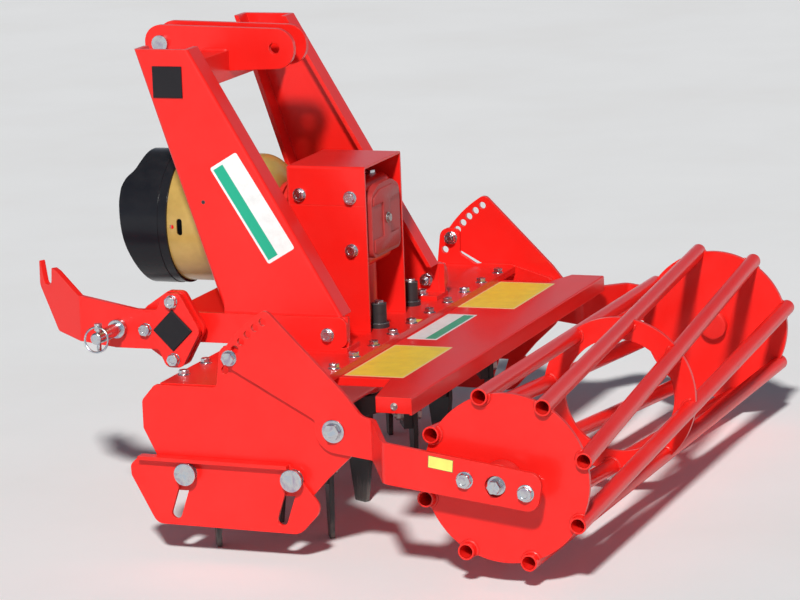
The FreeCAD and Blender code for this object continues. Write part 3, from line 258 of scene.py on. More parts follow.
def plating(name, tints, roughness, scale):
    """Plated metal: the tint drifts through three colours with soft noise, edges rub brighter."""
    made, tree, shader = finish_named(name)
    place = add(tree, "ShaderNodeTexCoord").outputs["Object"]
    drift = add(tree, "ShaderNodeTexNoise", {"Vector": place, "Scale": scale, "Detail": 3.0,
                                             "Distortion": 0.6})
    edge = add(tree, "ShaderNodeGroup", {"Width": 0.0006, "Patch Scale": 90.0}, node_tree=edge_wear_and_highlight)
    tint = ramp(tree, drift.outputs["Fac"], (0.34, tints[0]), (0.50, tints[1]), (0.68, tints[2]))
    rubbed = add(tree, "ShaderNodeMix", {"Factor": edge.outputs["Mask"], "A": tint,
                                         "B": (0.92, 0.92, 0.93, 1.0)}, data_type="RGBA")
    tree.links.new(rubbed.outputs["Result"], shader.inputs["Base Color"])
    fine = add(tree, "ShaderNodeTexNoise", {"Vector": place, "Scale": 900.0, "Detail": 2.0})
    tree.links.new(add(tree, "ShaderNodeMapRange", {"Value": fine.outputs["Fac"], "To Min": roughness - 0.08,
                                                    "To Max": roughness + 0.12}).outputs["Result"],
                   shader.inputs["Roughness"])
    tree.links.new(add(tree, "ShaderNodeBump", {
        "Height": fine.outputs["Fac"], "Strength": 0.12, "Distance": 0.0003,
        "Normal": edge.outputs["Rounded Normal"]}).outputs["Normal"], shader.inputs["Normal"])
    shader.inputs["Metallic"].default_value = 1.0
    return made


zinc = plating("zinc plating", ((0.55, 0.63, 0.72), (0.68, 0.69, 0.69), (0.50, 0.44, 0.56)), 0.22, 75.0)
dress(zinc, "top_link_pin", "hitch_pin_left", "hitch_pin_right", "lynch_pins", "deflector_bolts",
      "pivot_bolts", "lock_bolts", "roller_axles")
shaft_steel = plating("shaft steel", ((0.42, 0.40, 0.38), (0.50, 0.49, 0.48), (0.36, 0.33, 0.30)), 0.38, 30.0)
dress(shaft_steel, "input_shaft")


def show(name, points, faces, body, material, crease=35.0):
    """Puts a mesh in the scene, rides it on a body and gives it its material."""
    mesh = bpy.data.meshes.new(name)
    mesh.from_pydata(np.asarray(points).tolist(), [], [list(map(int, face)) for face in faces])
    mesh.polygons.foreach_set("use_smooth", np.ones(len(mesh.polygons), dtype=bool))
    mesh.set_sharp_from_angle(angle=math.radians(crease))
    mesh.materials.append(material)
    made = bpy.data.objects.new(name, mesh)
    scene.collection.objects.link(made)
    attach(made, body)
    return made


def ring_faces(rings, sides, offset=0):
    """Quads between neighbouring closed rings of points, each ring numbered after the one below it."""
    i = np.arange(rings - 1)[:, None] * sides + offset
    j = np.arange(sides)[None, :]
    k = (j + 1) % sides
    return np.stack([i + j, i + k, i + sides + k, i + sides + j], axis=-1).reshape(-1, 4)


def square_frame(axis):
    """Two directions square to an axis, so that the first crossed with the second gives the axis."""
    axis = np.array(axis, dtype=float) / np.linalg.norm(axis)
    spare = np.array((0.0, 0.0, 1.0)) if abs(axis[2]) < 0.9 else np.array((0.0, 1.0, 0.0))
    first = np.cross(spare, axis)
    first /= np.linalg.norm(first)
    return first, np.cross(axis, first), axis


golden_angle = 2.39996


def turned_parts(name, stations, spots, facing, body, material=zinc, sides=24):
    """Heads, nuts and washers: one profile carried round its own axis and copied to each spot.

    At angle t the radius of a station is the smaller of its flat / cos(t folded into a sixth of a turn),
    which is a hexagon, and its round limit. Each copy turns on from the last by the golden angle.
    """
    first, second, axis = square_frame(facing)
    spots = np.array(spots, dtype=float)
    flats, limits, heights = np.array(stations, dtype=float).T
    t = np.arange(sides) * 2 * np.pi / sides
    fold = np.abs((t + np.pi / 6) % (np.pi / 3) - np.pi / 6)
    radius = np.minimum(flats[:, None] / np.cos(fold), limits[:, None])
    angle = t + golden_angle * np.arange(len(spots))[:, None]
    around = np.cos(angle)[..., None] * first + np.sin(angle)[..., None] * second
    points = (spots[:, None, None, :] + radius[None, :, :, None] * around[:, None]
              + heights[None, :, None, None] * axis)
    per_part = len(stations) * sides
    faces = []
    for k in range(len(spots)):
        start = k * per_part
        faces += ring_faces(len(stations), sides, start).tolist()
        faces.append(list(range(start + sides - 1, start - 1, -1)))
        faces.append(list(range(start + per_part - sides, start + per_part)))
    return show(name, points.reshape(-1, 3), faces, body, material)


wide = 1.0        # in a profile: flats so far out that only the round limit shapes the point


def hexagon_head(across, height, washer_radius, washer_height):
    """Profile of a washer with a hexagon head on it, its corners rounded down by a cone."""
    half, corner = across / 2, across / math.sqrt(3)
    slope = across * 0.075
    return [(wide, washer_radius, 0.0), (wide, washer_radius, washer_height * 0.75),
            (wide, washer_radius - washer_height * 0.25, washer_height),
            (wide, half * 0.96, washer_height), (half, corner * 0.97, washer_height + 0.0006),
            (half, corner, washer_height + slope * 0.5), (half, corner, washer_height + height - slope),
            (half, corner * 0.95, washer_height + height - slope * 0.45),
            (wide, half * 0.97, washer_height + height), (wide, half * 0.60, washer_height + height),
            (wide, half * 0.55, washer_height + height - 0.0004)]


def nut_with_stud(across, height, stud_radius, stud_length):
    """Profile of a nut on a washer with the end of its bolt standing out of it."""
    half, corner = across / 2, across / math.sqrt(3)
    slope = across * 0.075
    top = 0.002 + height
    return [(wide, corner * 1.12, 0.0), (wide, corner * 1.12, 0.0015), (wide, corner * 1.08, 0.002),
            (wide, half * 0.96, 0.002), (half, corner, 0.002 + slope), (half, corner, top - slope),
            (wide, half * 0.97, top), (wide, stud_radius * 1.02, top), (wide, stud_radius, top - 0.0005),
            (wide, stud_radius, top + stud_length - 0.001), (wide, stud_radius - 0.001, top + stud_length)]


# ---------------------------------------------------------------- gear trough
# Two rows of flanged bolts clamp the cover to the trough's folded flanges. Below, four bolts
# hold each bearing housing to the trough's floor.

cover_low, cover_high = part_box("trough_cover")
middle_y = cover_low.y + 0.122
cover_top = cover_high.z
row_inset, row_count, row_rear, row_front = 0.062, 11, -0.110, 0.117
row_x = np.linspace(cover_low.x + row_inset, cover_high.x - row_inset, row_count)
cover_spots = [(x, middle_y + y, cover_top) for y in (row_rear, row_front) for x in row_x]
turned_parts("cover_bolts", hexagon_head(0.0150, 0.0070, 0.0108, 0.0018), cover_spots, (0, 0, 1), "frame")
under_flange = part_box("gear_trough")[0].z + 0.075
turned_parts("cover_nuts", nut_with_stud(0.0125, 0.0060, 0.0040, 0.003),
             [(x, y, under_flange) for x, y, z in cover_spots], (0, 0, -1), "frame")
bearing_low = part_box("rotor_bearings")[0].z + 0.022
bearing_circle = 0.052
turns = np.radians(45 + 90 * np.arange(4))
shafts = {}
bearing_spots = []
for number in range(1, 6):
    low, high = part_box("rotor_%d" % number)
    shafts[number] = shaft_x, shaft_y = (low.x + high.x) / 2, (low.y + high.y) / 2
    bearing_spots += [(shaft_x + bearing_circle * math.cos(t), shaft_y + bearing_circle * math.sin(t),
                       bearing_low) for t in turns]
turned_parts("bearing_flange_bolts", hexagon_head(0.013, 0.0053, 0.0075, 0.001), bearing_spots, (0, 0, -1),
             "frame")

# ---------------------------------------------------------------- side plates
# Broad thick washers lie under the adjusting bolts of the side deflectors and under the arms'
# pivot bolts. A nut is welded behind each plate where the arm's stop is bolted to it.


def broad_washer(radius, thickness):
    """Profile of a thick punched washer: a rolled lower rim, a square shoulder and a slightly hollow top."""
    return [(wide, radius - 0.0006, 0.0), (wide, radius, 0.0006), (wide, radius, thickness - 0.0010),
            (wide, radius - 0.0004, thickness - 0.0003), (wide, radius - 0.0011, thickness),
            (wide, radius * 0.66, thickness - 0.0002)]


low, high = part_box("deflector_bolts")
deflector_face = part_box("side_deflector_right")[1].x + 0.0003
adjuster_half = 0.016
adjusting = [(high.y - adjuster_half, high.z - adjuster_half), (low.y + adjuster_half, low.z + adjuster_half)]
pivot_low, pivot_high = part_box("pivot_bolts")
pivot = ((pivot_low.y + pivot_high.y) / 2, (pivot_low.z + pivot_high.z) / 2)
lock_low, lock_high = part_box("lock_bolts")
lock = ((lock_low.y + lock_high.y) / 2, (lock_low.z + lock_high.z) / 2)
plate_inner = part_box("gear_trough")[1].x
for side, sign in zip(both, (-1, 1)):
    turned_parts("deflector_washers_" + side, broad_washer(0.0188, 0.0033),
                 [(sign * deflector_face, y, z) for y, z in adjusting], (sign, 0, 0), "frame")
    turned_parts("pivot_washer_" + side, broad_washer(0.0192, 0.0032),
                 [(sign * (pivot_high.x - 0.0127), *pivot)], (sign, 0, 0), "frame")
    turned_parts("lock_nut_" + side, nut_with_stud(0.019, 0.010, 0.006, 0.001),
                 [(sign * plate_inner, *lock)], (-sign, 0, 0), "frame")

# ---------------------------------------------------------------- welds
# Beads of weld wire laid by hand along the joints and coated over with the rest, each with
# the small scallops that its passes leave.


def bead(name, paths, radius, body, ripple=0.006):
    """Weld beads: a round section carried along each path of points.

    The section's radius is radius * (0.88 + 0.12 |sin|) of the way along in ripples, and it closes to a
    tenth at the two ends.
    """
    points, faces, offset = [], [], 0
    sides = 8
    t = np.arange(sides) * 2 * np.pi / sides
    for path in paths:
        path = np.array(path, dtype=float)
        along = np.gradient(path, axis=0)
        along /= np.linalg.norm(along, axis=1)[:, None]
        spare = np.array((0.31, 0.52, 0.80))
        first = np.cross(spare, along)
        first /= np.linalg.norm(first, axis=1)[:, None]
        second = np.cross(along, first)
        travelled = np.concatenate([[0], np.cumsum(np.linalg.norm(np.diff(path, axis=0), axis=1))])
        size = radius * (0.88 + 0.12 * np.abs(np.sin(np.pi * travelled / ripple)))
        size[[0, -1]] = radius * 0.1
        rings = path[:, None] + size[:, None, None] * (np.cos(t)[None, :, None] * first[:, None]
                                                       + np.sin(t)[None, :, None] * second[:, None])
        points.append(rings.reshape(-1, 3))
        faces += ring_faces(len(path), sides, offset).tolist()
        faces.append(list(range(offset + sides - 1, offset - 1, -1)))
        end = offset + len(path) * sides
        faces.append(list(range(end - sides, end)))
        offset = end
    return show(name, np.concatenate(points), faces, body, red_casting, crease=60.0)


def straight(start, end, step=0.003):
    """Points from start to end, a step apart."""
    start, end = np.array(start, dtype=float), np.array(end, dtype=float)
    count = max(int(np.linalg.norm(end - start) / step), 2)
    return start + (end - start) * np.linspace(0, 1, count)[:, None]


# ---------------------------------------------------------------- headstock
# Two folded uprights stand on feet bolted through the trough cover. The square tube near
# their tops carries two ears for the top link, and a blank label is stuck on the left one.

ear_low, ear_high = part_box("top_link_ear_right")
tube_low, tube_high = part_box("upper_tube")
tube_top = tube_high.z
headstock_welds = []
for sign in (-1, 1):
    for x in (ear_low.x, ear_high.x):
        headstock_welds.append(straight((sign * x, tube_low.y + 0.002, tube_top),
                                        (sign * x, tube_high.y - 0.002, tube_top)))
    upright_x = sign * (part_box("upright_right")[0].x - 0.0005)
    headstock_welds.append(straight((upright_x, tube_low.y, tube_low.z),
                                    (upright_x, tube_high.y, tube_low.z)))
    headstock_welds.append(straight((upright_x, tube_low.y, tube_low.z), (upright_x, tube_low.y, tube_top)))
bead("headstock_welds", headstock_welds, 0.0032, "frame")

foot_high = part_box("foot_right")[1]
foot_bolt = (middle_y - 0.054, cover_top + 0.029)
for side, sign in zip(both, (-1, 1)):
    turned_parts("foot_bolt_" + side, hexagon_head(0.018, 0.0075, 0.0120, 0.0022),
                 [(sign * foot_high.x, *foot_bolt)], (sign, 0, 0), "frame")
    turned_parts("foot_nut_" + side, nut_with_stud(0.018, 0.010, 0.0058, 0.006),
                 [(sign * (foot_high.x - 0.016), *foot_bolt)], (-sign, 0, 0), "frame")
turned_parts("foot_base_bolts", hexagon_head(0.017, 0.0075, 0.0115, 0.002),
             [(sign * 0.204, middle_y + y, cover_top + 0.008) for sign in (-1, 1) for y in (-0.055, 0.085)],
             (0, 0, 1), "frame")


def film(name, corners, normal, body, material, thickness=0.00025, rounding=0.004):
    """A thin stuck-on film: a rectangle with rounded corners, raised off the plate by its thickness.

    Each corner is a quarter turn of six points between its two sides, and the map coordinates run from
    0 to 1 along the first side and along the last.
    """
    corners = np.array(corners, dtype=float)
    normal = np.array(normal, dtype=float)
    across, up = corners[1] - corners[0], corners[3] - corners[0]
    size = np.array((np.linalg.norm(across), np.linalg.norm(up)))
    share = rounding / size
    t = np.linspace(0, np.pi / 2, 6)
    arc = np.stack([1 - np.sin(t), 1 - np.cos(t)], axis=-1)
    grid = []
    for corner, bend in (((0, 0), (1, 1)), ((1, 0), (-1, 1)), ((1, 1), (-1, -1)), ((0, 1), (1, -1))):
        swing = arc[::-1] if corner in ((0, 0), (1, 1)) else arc
        grid.append(np.array(corner) + swing * share * bend)
    flat_grid = np.concatenate(grid)
    if np.dot(np.cross(across, up), normal) < 0:
        flat_grid = flat_grid[::-1]
    base = corners[0] + flat_grid[:, :1] * across + flat_grid[:, 1:] * up
    count = len(base)
    points = np.concatenate([base - normal * 0.0002, base + normal * thickness])
    faces = ring_faces(2, count).tolist() + [list(range(count - 1, -1, -1)), list(range(count, 2 * count))]
    made = show(name, points, faces, body, material, crease=20.0)
    layer = made.data.uv_layers.new(name="label")
    corner_points = np.empty(len(made.data.loops), dtype=np.int32)
    made.data.loops.foreach_get("vertex_index", corner_points)
    layer.data.foreach_set("uv", flat_grid[corner_points % count].astype(np.float32).ravel())
    return made


def label_finish(name, ground, stripe=None, stripe_from=0.0, stripe_to=0.0, margin=0.0, edge=None):
    """Printed film: a plain ground, an optional stripe along its length and an edge line, faintly soiled."""
    made, tree, shader = finish_named(name)
    spot = add(tree, "ShaderNodeSeparateXYZ", {0: add(tree, "ShaderNodeUVMap", uv_map="label").outputs["UV"]})
    u, v = spot.outputs["X"], spot.outputs["Y"]
    place = add(tree, "ShaderNodeTexCoord").outputs["Object"]
    soil = add(tree, "ShaderNodeTexNoise", {"Vector": place, "Scale": 45.0, "Detail": 6.0, "Roughness": 0.7})
    soiled = tuple(0.88 * c for c in ground)
    colour = ramp(tree, soil.outputs["Fac"], (0.35, soiled), (0.6, ground))

    def between(value, low, high):
        above = add(tree, "ShaderNodeMath", {0: value, 1: low}, operation="GREATER_THAN")
        below = add(tree, "ShaderNodeMath", {0: value, 1: high}, operation="LESS_THAN")
        return add(tree, "ShaderNodeMath", {0: above.outputs[0], 1: below.outputs[0]},
                   operation="MULTIPLY").outputs[0]

    if stripe:
        inside = add(tree, "ShaderNodeMath", {0: between(u, margin, 1 - margin),
                                              1: between(v, stripe_from, stripe_to)}, operation="MULTIPLY")
        colour = add(tree, "ShaderNodeMix", {"Factor": inside.outputs[0], "A": colour, "B": (*stripe, 1.0)},
                     data_type="RGBA").outputs["Result"]
    if edge:
        inside = add(tree, "ShaderNodeMath", {0: between(u, 0.02, 0.98), 1: between(v, 0.035, 0.965)},
                     operation="MULTIPLY")
        colour = add(tree, "ShaderNodeMix", {"Factor": inside.outputs[0], "A": (*edge, 1.0), "B": colour},
                     data_type="RGBA").outputs["Result"]
    tree.links.new(colour, shader.inputs["Base Color"])
    tree.links.new(add(tree, "ShaderNodeMapRange", {"Value": soil.outputs["Fac"], "To Min": 0.25,
                                                    "To Max": 0.5}).outputs["Result"],
                   shader.inputs["Roughness"])
    return made


white_green = label_finish("white label with green stripe", (0.84, 0.87, 0.86), (0.008, 0.40, 0.24),
                           0.07, 0.42, margin=0.03)
upright_face = -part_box("upright_right")[1].x
upright_label_corners = ((0.1485, 0.3038), (0.0499, 0.1442), (0.0020, 0.1728), (0.1003, 0.3324))
film("upright_label", [(upright_face, middle_y + y, cover_top + z) for y, z in upright_label_corners],
     (-1, 0, 0), "frame", white_green)

# ---------------------------------------------------------------- rear hood labels
# Three printed films on the hood's deck: two yellow ones and a white one with a green stripe,
# all left blank.

yellow_film = label_finish("yellow label", (0.93, 0.70, 0.07), edge=(0.85, 0.70, 0.30))
deck_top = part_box("rear_hood")[1].z
for name, x_low, x_high, near_y, far_y, material in (
        ("hood_label_left", -0.358, -0.120, -0.124, -0.228, yellow_film),
        ("hood_label_right", 0.203, 0.433, -0.121, -0.227, yellow_film),
        ("hood_label_middle", -0.068, 0.142, -0.126, -0.180, white_green)):
    film(name, [(x_low, middle_y + far_y, deck_top), (x_high, middle_y + far_y, deck_top),
                (x_high, middle_y + near_y, deck_top), (x_low, middle_y + near_y, deck_top)],
         (0, 0, 1), "frame", material, rounding=0.002)
film("cover_label", [(x, middle_y + y, cover_top) for x, y in (
    (0.010, -0.118), (0.034, -0.118), (0.034, -0.103), (0.010, -0.103))],
     (0, 0, 1), "frame", yellow_film, rounding=0.001)

# ---------------------------------------------------------------- gearbox and guard
# The bevel gearbox has a cast rear cover with a raised rib down its middle and a plug, and
# stands in a folded guard held by three flanged bolts a side.


def plate_on(name, outline, origin, across, up, thickness, soften, body, material):
    """A flat pad: a closed outline carried along its own normal and drawn in by soften at the top.

    Drawing in moves each corner along (n1 + n2) / (1 + n1 . n2) of its two sides' normals.
    """
    outline = np.array(outline, dtype=float)
    across, up = np.array(across, dtype=float), np.array(up, dtype=float)
    normal = np.cross(across, up)
    sides = np.roll(outline, -1, axis=0) - outline
    sides /= np.linalg.norm(sides, axis=1)[:, None]
    outward = np.stack([sides[:, 1], -sides[:, 0]], axis=-1)
    before = np.roll(outward, 1, axis=0)
    draw = (before + outward) / (1 + np.sum(before * outward, axis=1))[:, None]
    rings = []
    for height, inset in ((-0.0005, 0.0), (thickness - soften, 0.0),
                          (thickness - soften * 0.3, soften * 0.35), (thickness, soften)):
        flat = outline - draw * inset
        rings.append(np.array(origin) + flat[:, :1] * across + flat[:, 1:] * up + normal * height)
    count = len(outline)
    faces = ring_faces(len(rings), count).tolist()
    faces += [list(range(count - 1, -1, -1)), list(range((len(rings) - 1) * count, len(rings) * count))]
    return show(name, np.concatenate(rings), faces, body, material)


cover_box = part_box("gearbox_rear_cover")
cover_face = cover_box[0].y + 0.003
cover_middle = (cover_box[0].z + cover_box[1].z) / 2
rib = [(-0.060, -0.052), (-0.048, -0.057), (0.048, -0.057), (0.060, -0.052), (0.060, -0.030),
       (0.016, -0.030), (0.016, 0.028), (0.060, 0.028), (0.060, 0.042), (0.030, 0.053), (-0.030, 0.053),
       (-0.060, 0.042), (-0.060, 0.028), (-0.016, 0.028), (-0.016, -0.030), (-0.060, -0.030)]
# The rib takes the darker coat, painted shade like the cover under it.
plate_on("gearbox_cover_rib", rib, (0, cover_face, cover_middle), (1, 0, 0), (0, 0, 1), 0.0022, 0.0012,
         "frame", shaded_red_casting)
turned_parts("gearbox_plug", hexagon_head(0.013, 0.004, 0.0095, 0.0015),
             [(0, cover_box[0].y, cover_middle - 0.001)], (0, -1, 0), "frame", shaft_steel)
turned_parts("gearbox_top_bolt", hexagon_head(0.017, 0.006, 0.011, 0.0015),
             [(0.035, middle_y - 0.030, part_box("gearbox")[1].z)], (0, 0, 1), "frame")
guard_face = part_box("gearbox_guard")[1].x
box_rear, box_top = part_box("gearbox")[0].y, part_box("gearbox")[1].z
shaft_low, shaft_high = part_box("input_shaft")
shaft_height = (shaft_low.z + shaft_high.z) / 2
guard_spots = [(box_rear + 0.1096, box_top - 0.018), (box_rear + 0.0176, box_top - 0.021),
               (box_rear + 0.018, shaft_height - 0.036)]
for side, sign in zip(both, (-1, 1)):
    turned_parts("guard_bolts_" + side, hexagon_head(0.017, 0.0075, 0.0120, 0.002),
                 [(sign * guard_face, y, z) for y, z in guard_spots], (sign, 0, 0), "frame")

# Black plastic for the oil plugs, also used for the disc of painted shade on the upright below.
black_plug_and_hole_shade = plating("black plugs and painted hole shade", ((0.02, 0.02, 0.022), (0.03, 0.03, 0.032), (0.025, 0.025, 0.03)), 0.42,
                     40.0)
black_plug_and_hole_shade.node_tree.nodes["Principled BSDF"].inputs["Metallic"].default_value = 0.0
dress(black_plug_and_hole_shade, "oil_plugs")
plug_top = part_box("oil_plugs")[1].z
# A small black disc on the left upright is painted shade: it stands for the dark inside of a small hole.
turned_parts("upright_hole_painted_shade", [(wide, 0.0034, -0.0002), (wide, 0.0034, 0.0001), (wide, 0.0022, 0.0002)],
             [(upright_face, middle_y + 0.1633, cover_top + 0.2462)], (-1, 0, 0), "frame", black_plug_and_hole_shade)
turned_parts("hood_lip_screw", hexagon_head(0.0085, 0.0035, 0.0062, 0.0008),
             [(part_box("rear_hood")[0].x, middle_y - 0.262, deck_top - 0.015)], (-1, 0, 0), "frame",
             shaft_steel)
turned_parts("oil_plug_heads", hexagon_head(0.014, 0.004, 0.0085, 0.001),
             [(-0.038, middle_y - 0.066, plug_top), (0.150, middle_y - 0.054, plug_top)], (0, 0, 1), "frame")

# ---------------------------------------------------------------- drive shaft shield
# A deep cup rolled from ochre-coated sheet is fixed to the gearbox's neck, and a moulded
# black rubber-like bell is pushed over its rim.

ochre, tree, shader = finish_named("ochre coat")
place = add(tree, "ShaderNodeTexCoord").outputs["Object"]
smear = add(tree, "ShaderNodeTexNoise", {"Vector": place, "Scale": 11.0, "Detail": 5.0, "Roughness": 0.6})
tree.links.new(ramp(tree, smear.outputs["Fac"], (0.32, (0.40, 0.26, 0.065)), (0.60, (0.56, 0.38, 0.10)),
                    (0.80, (0.62, 0.44, 0.14))), shader.inputs["Base Color"])
edge = add(tree, "ShaderNodeGroup", {"Width": 0.0012, "Patch Scale": 60.0}, node_tree=edge_wear_and_highlight)
tree.links.new(add(tree, "ShaderNodeMapRange", {"Value": smear.outputs["Fac"], "To Min": 0.22,
                                                "To Max": 0.40}).outputs["Result"],
               shader.inputs["Roughness"])
skin = add(tree, "ShaderNodeTexNoise", {"Vector": place, "Scale": 500.0})
tree.links.new(add(tree, "ShaderNodeBump", {
    "Height": skin.outputs["Fac"], "Strength": 0.08, "Distance": 0.0005,
    "Normal": edge.outputs["Rounded Normal"]}).outputs["Normal"], shader.inputs["Normal"])
shader.inputs["Coat Weight"].default_value = 0.3
shader.inputs["Coat Roughness"].default_value = 0.15
dress(ochre, "shield_cup")


def moulded_black(name, colour, roughness, grain_scale, grain_strength):
    """Moulded black plastic: a fine grain, a slow change of gloss and a little dust on what faces up."""
    made, tree, shader = finish_named(name)
    place = add(tree, "ShaderNodeTexCoord").outputs["Object"]
    dust = add(tree, "ShaderNodeGroup", {"Amount": 0.06, "Patch Scale": 14.0}, node_tree=yard_dust)
    edge = add(tree, "ShaderNodeGroup", {"Width": 0.0014, "Patch Scale": 50.0}, node_tree=edge_wear_and_highlight)
    tree.links.new(add(tree, "ShaderNodeMix", {"Factor": dust.outputs["Mask"], "A": (*colour, 1.0),
                                               "B": (0.30, 0.28, 0.26, 1.0)},
                       data_type="RGBA").outputs["Result"], shader.inputs["Base Color"])
    slow = add(tree, "ShaderNodeTexNoise", {"Vector": place, "Scale": 12.0, "Detail": 3.0})
    tree.links.new(add(tree, "ShaderNodeMapRange", {"Value": slow.outputs["Fac"], "To Min": roughness - 0.06,
                                                    "To Max": roughness + 0.08}).outputs["Result"],
                   shader.inputs["Roughness"])
    grain = add(tree, "ShaderNodeTexNoise", {"Vector": place, "Scale": grain_scale, "Detail": 2.0})
    tree.links.new(add(tree, "ShaderNodeBump", {
        "Height": grain.outputs["Fac"], "Strength": grain_strength, "Distance": 0.0004,
        "Normal": edge.outputs["Rounded Normal"]}).outputs["Normal"], shader.inputs["Normal"])
    shader.inputs["Specular IOR Level"].default_value = 0.22
    return made


dress(moulded_black("bell rubber", (0.010, 0.011, 0.015), 0.24, 700.0, 0.06), "shield_bell")
dress(moulded_black("cap plastic", (0.014, 0.013, 0.016), 0.50, 1200.0, 0.30), "tube_caps")

# ---------------------------------------------------------------- lower hitch
# Each hitch plate and its clamp grip the square tube between them with three long bolts, with
# heads outside and nuts inside.

clamp_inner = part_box("hitch_clamp_right")[0].x
pin_low, pin_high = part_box("hitch_pin_right")
pin = ((pin_low.y + pin_high.y) / 2, (pin_low.z + pin_high.z) / 2)
lower_low, lower_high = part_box("lower_tube")
lower_y, lower_z = (lower_low.y + lower_high.y) / 2, (lower_low.z + lower_high.z) / 2
plate_face = lower_high.x
clamp_circle = 0.0495
hitch_spots = [(lower_y, lower_z + clamp_circle), (lower_y + clamp_circle, lower_z),
               (lower_y, lower_z - clamp_circle)]
for side, sign in zip(both, (-1, 1)):
    turned_parts("hitch_bolts_" + side, hexagon_head(0.019, 0.0085, 0.0112, 0.0015),
                 [(sign * plate_face, y, z) for y, z in hitch_spots], (sign, 0, 0), "frame")
    turned_parts("hitch_nuts_" + side, nut_with_stud(0.019, 0.010, 0.006, 0.007),
                 [(sign * clamp_inner, y, z) for y, z in hitch_spots], (-sign, 0, 0), "frame")
    turned_parts("hitch_pin_sleeve_" + side, broad_washer(0.0162, 0.0123), [(sign * plate_face, *pin)],
                 (sign, 0, 0), "frame")

# ---------------------------------------------------------------- roller arms
# The roller hangs in flanged bearings, each held behind its arm by two large bolts. A small
# blank yellow label is stuck beside the left ones.

arm_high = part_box("roller_arm_right")[1].x
axle_low, axle_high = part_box("roller_axles")
axle_y, axle_z = (axle_low.y + axle_high.y) / 2, (axle_low.z + axle_high.z) / 2
slope = math.radians(9.0)
bolt_reach = 0.050
bearing_bolts = [(axle_y + d * bolt_reach * math.cos(slope), axle_z + d * bolt_reach * math.sin(slope))
                 for d in (-1, 1)]
for side, sign in zip(both, (-1, 1)):
    turned_parts("bearing_bolts_" + side, hexagon_head(0.0215, 0.0076, 0.0140, 0.0022),
                 [(sign * arm_high, y, z) for y, z in bearing_bolts], (sign, 0, 0), "roller_arms")
    turned_parts("bearing_nuts_" + side, nut_with_stud(0.019, 0.008, 0.006, 0.002),
                 [(sign * (arm_high - 0.032), y, z) for y, z in bearing_bolts], (-sign, 0, 0), "roller_arms")
arm_label_corners = ((-0.3715, 0.0250), (-0.4125, 0.0185), (-0.4150, 0.0390), (-0.3730, 0.0445))
film("arm_label", [(-arm_high, middle_y + y, axle_z + z) for y, z in arm_label_corners],
     (-1, 0, 0), "roller_arms",
     label_finish("small yellow label", (0.90, 0.78, 0.16), edge=(0.10, 0.09, 0.06)),
     rounding=0.001)

# ---------------------------------------------------------------- roller
# Eight tubes are laid aslant through notches in the two end discs and the middle ring and
# welded where they cross them.

tube_circle, tube_radius, tube_reach = 0.1355, 0.01345, 0.605
tube_slant = 43.5
disc_inner, disc_face = (corner.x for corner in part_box("roller_disc_right"))
roller_welds = []
for start in 15.7 + 45.0 * np.arange(8):
    left_angle, right_angle = math.radians(start), math.radians(start + tube_slant)
    ends = np.array([(side * tube_reach, axle_y - tube_circle * math.cos(a),
                      axle_z + tube_circle * math.sin(a))
                     for side, a in ((-1, left_angle), (1, right_angle))])
    for x in (-disc_face, disc_face, -0.004, 0.004):
        centre = ends[0] + (ends[1] - ends[0]) * (x + tube_reach) / (2 * tube_reach)
        inward = math.atan2(axle_z - centre[2], axle_y - centre[1])
        t = inward + np.radians(np.linspace(-96, 96, 26))
        roller_welds.append(np.stack([np.full(26, x), centre[1] + (tube_radius + 0.0012) * np.cos(t),
                                      centre[2] + (tube_radius + 0.0012) * np.sin(t)], axis=-1))
bead("roller_welds", roller_welds, 0.0030, "roller")
for side, sign in zip(both, (-1, 1)):
    turned_parts("roller_hub_" + side, broad_washer(0.0245, 0.0165),
                 [(sign * disc_inner, axle_y, axle_z)], (-sign, 0, 0), "roller", red_casting,
                 sides=40)

# ---------------------------------------------------------------- rotors and blades
# Forged rotor heads, painted black, each hold two tapered blades by two bolts apiece. Soil has
# rubbed the lower ends of the blades down to dark bare steel.

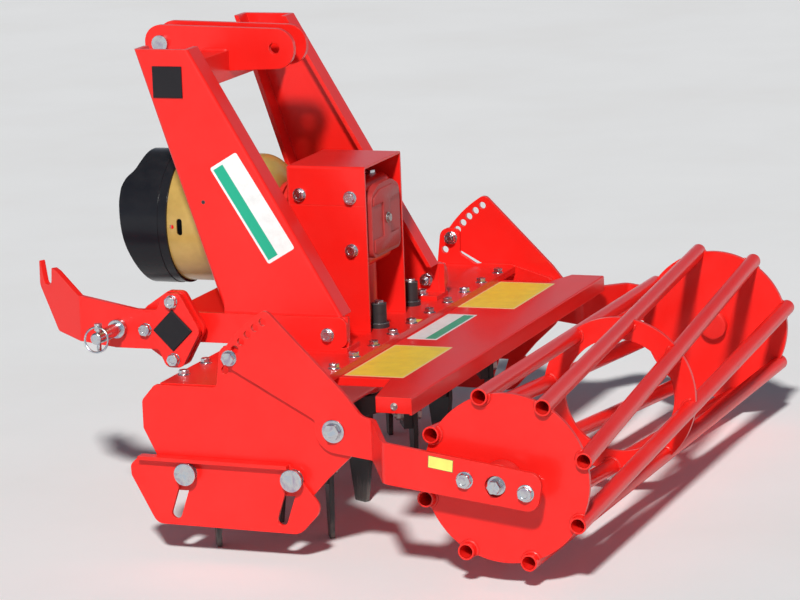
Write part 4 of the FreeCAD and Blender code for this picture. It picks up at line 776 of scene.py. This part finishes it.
blade_steel, tree, shader = finish_named("blade steel")
place = add(tree, "ShaderNodeTexCoord").outputs["Object"]
height = add(tree, "ShaderNodeSeparateXYZ", {0: place}).outputs["Z"]
scratches = add(tree, "ShaderNodeTexNoise", {
    "Vector": add(tree, "ShaderNodeMapping", {"Vector": place, "Scale": (1.0, 1.0, 0.12)}).outputs["Vector"],
    "Scale": 260.0, "Detail": 5.0, "Roughness": 0.7})
low_down = add(tree, "ShaderNodeMapRange", {"Value": height, "From Min": 0.075, "From Max": 0.0})
rub = add(tree, "ShaderNodeMath", {0: low_down.outputs["Result"], 1: scratches.outputs["Fac"]},
          operation="MULTIPLY")
bare = add(tree, "ShaderNodeMapRange", {"Value": rub.outputs["Value"], "From Min": 0.22, "From Max": 0.50})
tree.links.new(add(tree, "ShaderNodeMix", {"Factor": bare.outputs["Result"], "A": (0.018, 0.018, 0.020, 1.0),
                                           "B": (0.16, 0.15, 0.14, 1.0)},
                   data_type="RGBA").outputs["Result"], shader.inputs["Base Color"])
tree.links.new(add(tree, "ShaderNodeMath", {0: bare.outputs["Result"], 1: 0.8},
                   operation="MULTIPLY").outputs[0], shader.inputs["Metallic"])
tree.links.new(add(tree, "ShaderNodeMapRange", {"Value": scratches.outputs["Fac"], "To Min": 0.32,
                                                "To Max": 0.52}).outputs["Result"],
               shader.inputs["Roughness"])
edge = add(tree, "ShaderNodeGroup", {"Width": 0.0015, "Patch Scale": 70.0}, node_tree=edge_wear_and_highlight)
tree.links.new(add(tree, "ShaderNodeBump", {"Height": scratches.outputs["Fac"], "Strength": 0.2,
                                            "Distance": 0.0006, "Normal": edge.outputs["Rounded Normal"]}
                   ).outputs["Normal"], shader.inputs["Normal"])
blade_face, lug_back, bolt_height, bolt_half = 0.0973, 0.0733, 0.120, 0.014
odd_phase, even_phase = 119.0, -29.0
for number, (shaft_x, shaft_y) in shafts.items():
    dress(blade_steel, "rotor_%d" % number, "blades_%d" % number)
    phase = math.radians(odd_phase if number % 2 else even_phase)
    for end, sign in zip(("first", "second"), (1, -1)):
        out = np.array((math.cos(phase), math.sin(phase), 0.0)) * sign
        along = np.array((-out[1], out[0], 0.0))
        middle = np.array((shaft_x, shaft_y, bolt_height))
        turned_parts("blade_bolts_%d_%s" % (number, end), hexagon_head(0.018, 0.0070, 0.0112, 0.0015),
                     [middle + out * blade_face + along * y for y in (-bolt_half, bolt_half)], out,
                     "rotor_%d" % number, shaft_steel)
        turned_parts("blade_nuts_%d_%s" % (number, end), nut_with_stud(0.018, 0.010, 0.006, 0.003),
                     [middle + out * lug_back + along * y for y in (-bolt_half, bolt_half)], -out,
                     "rotor_%d" % number, shaft_steel)
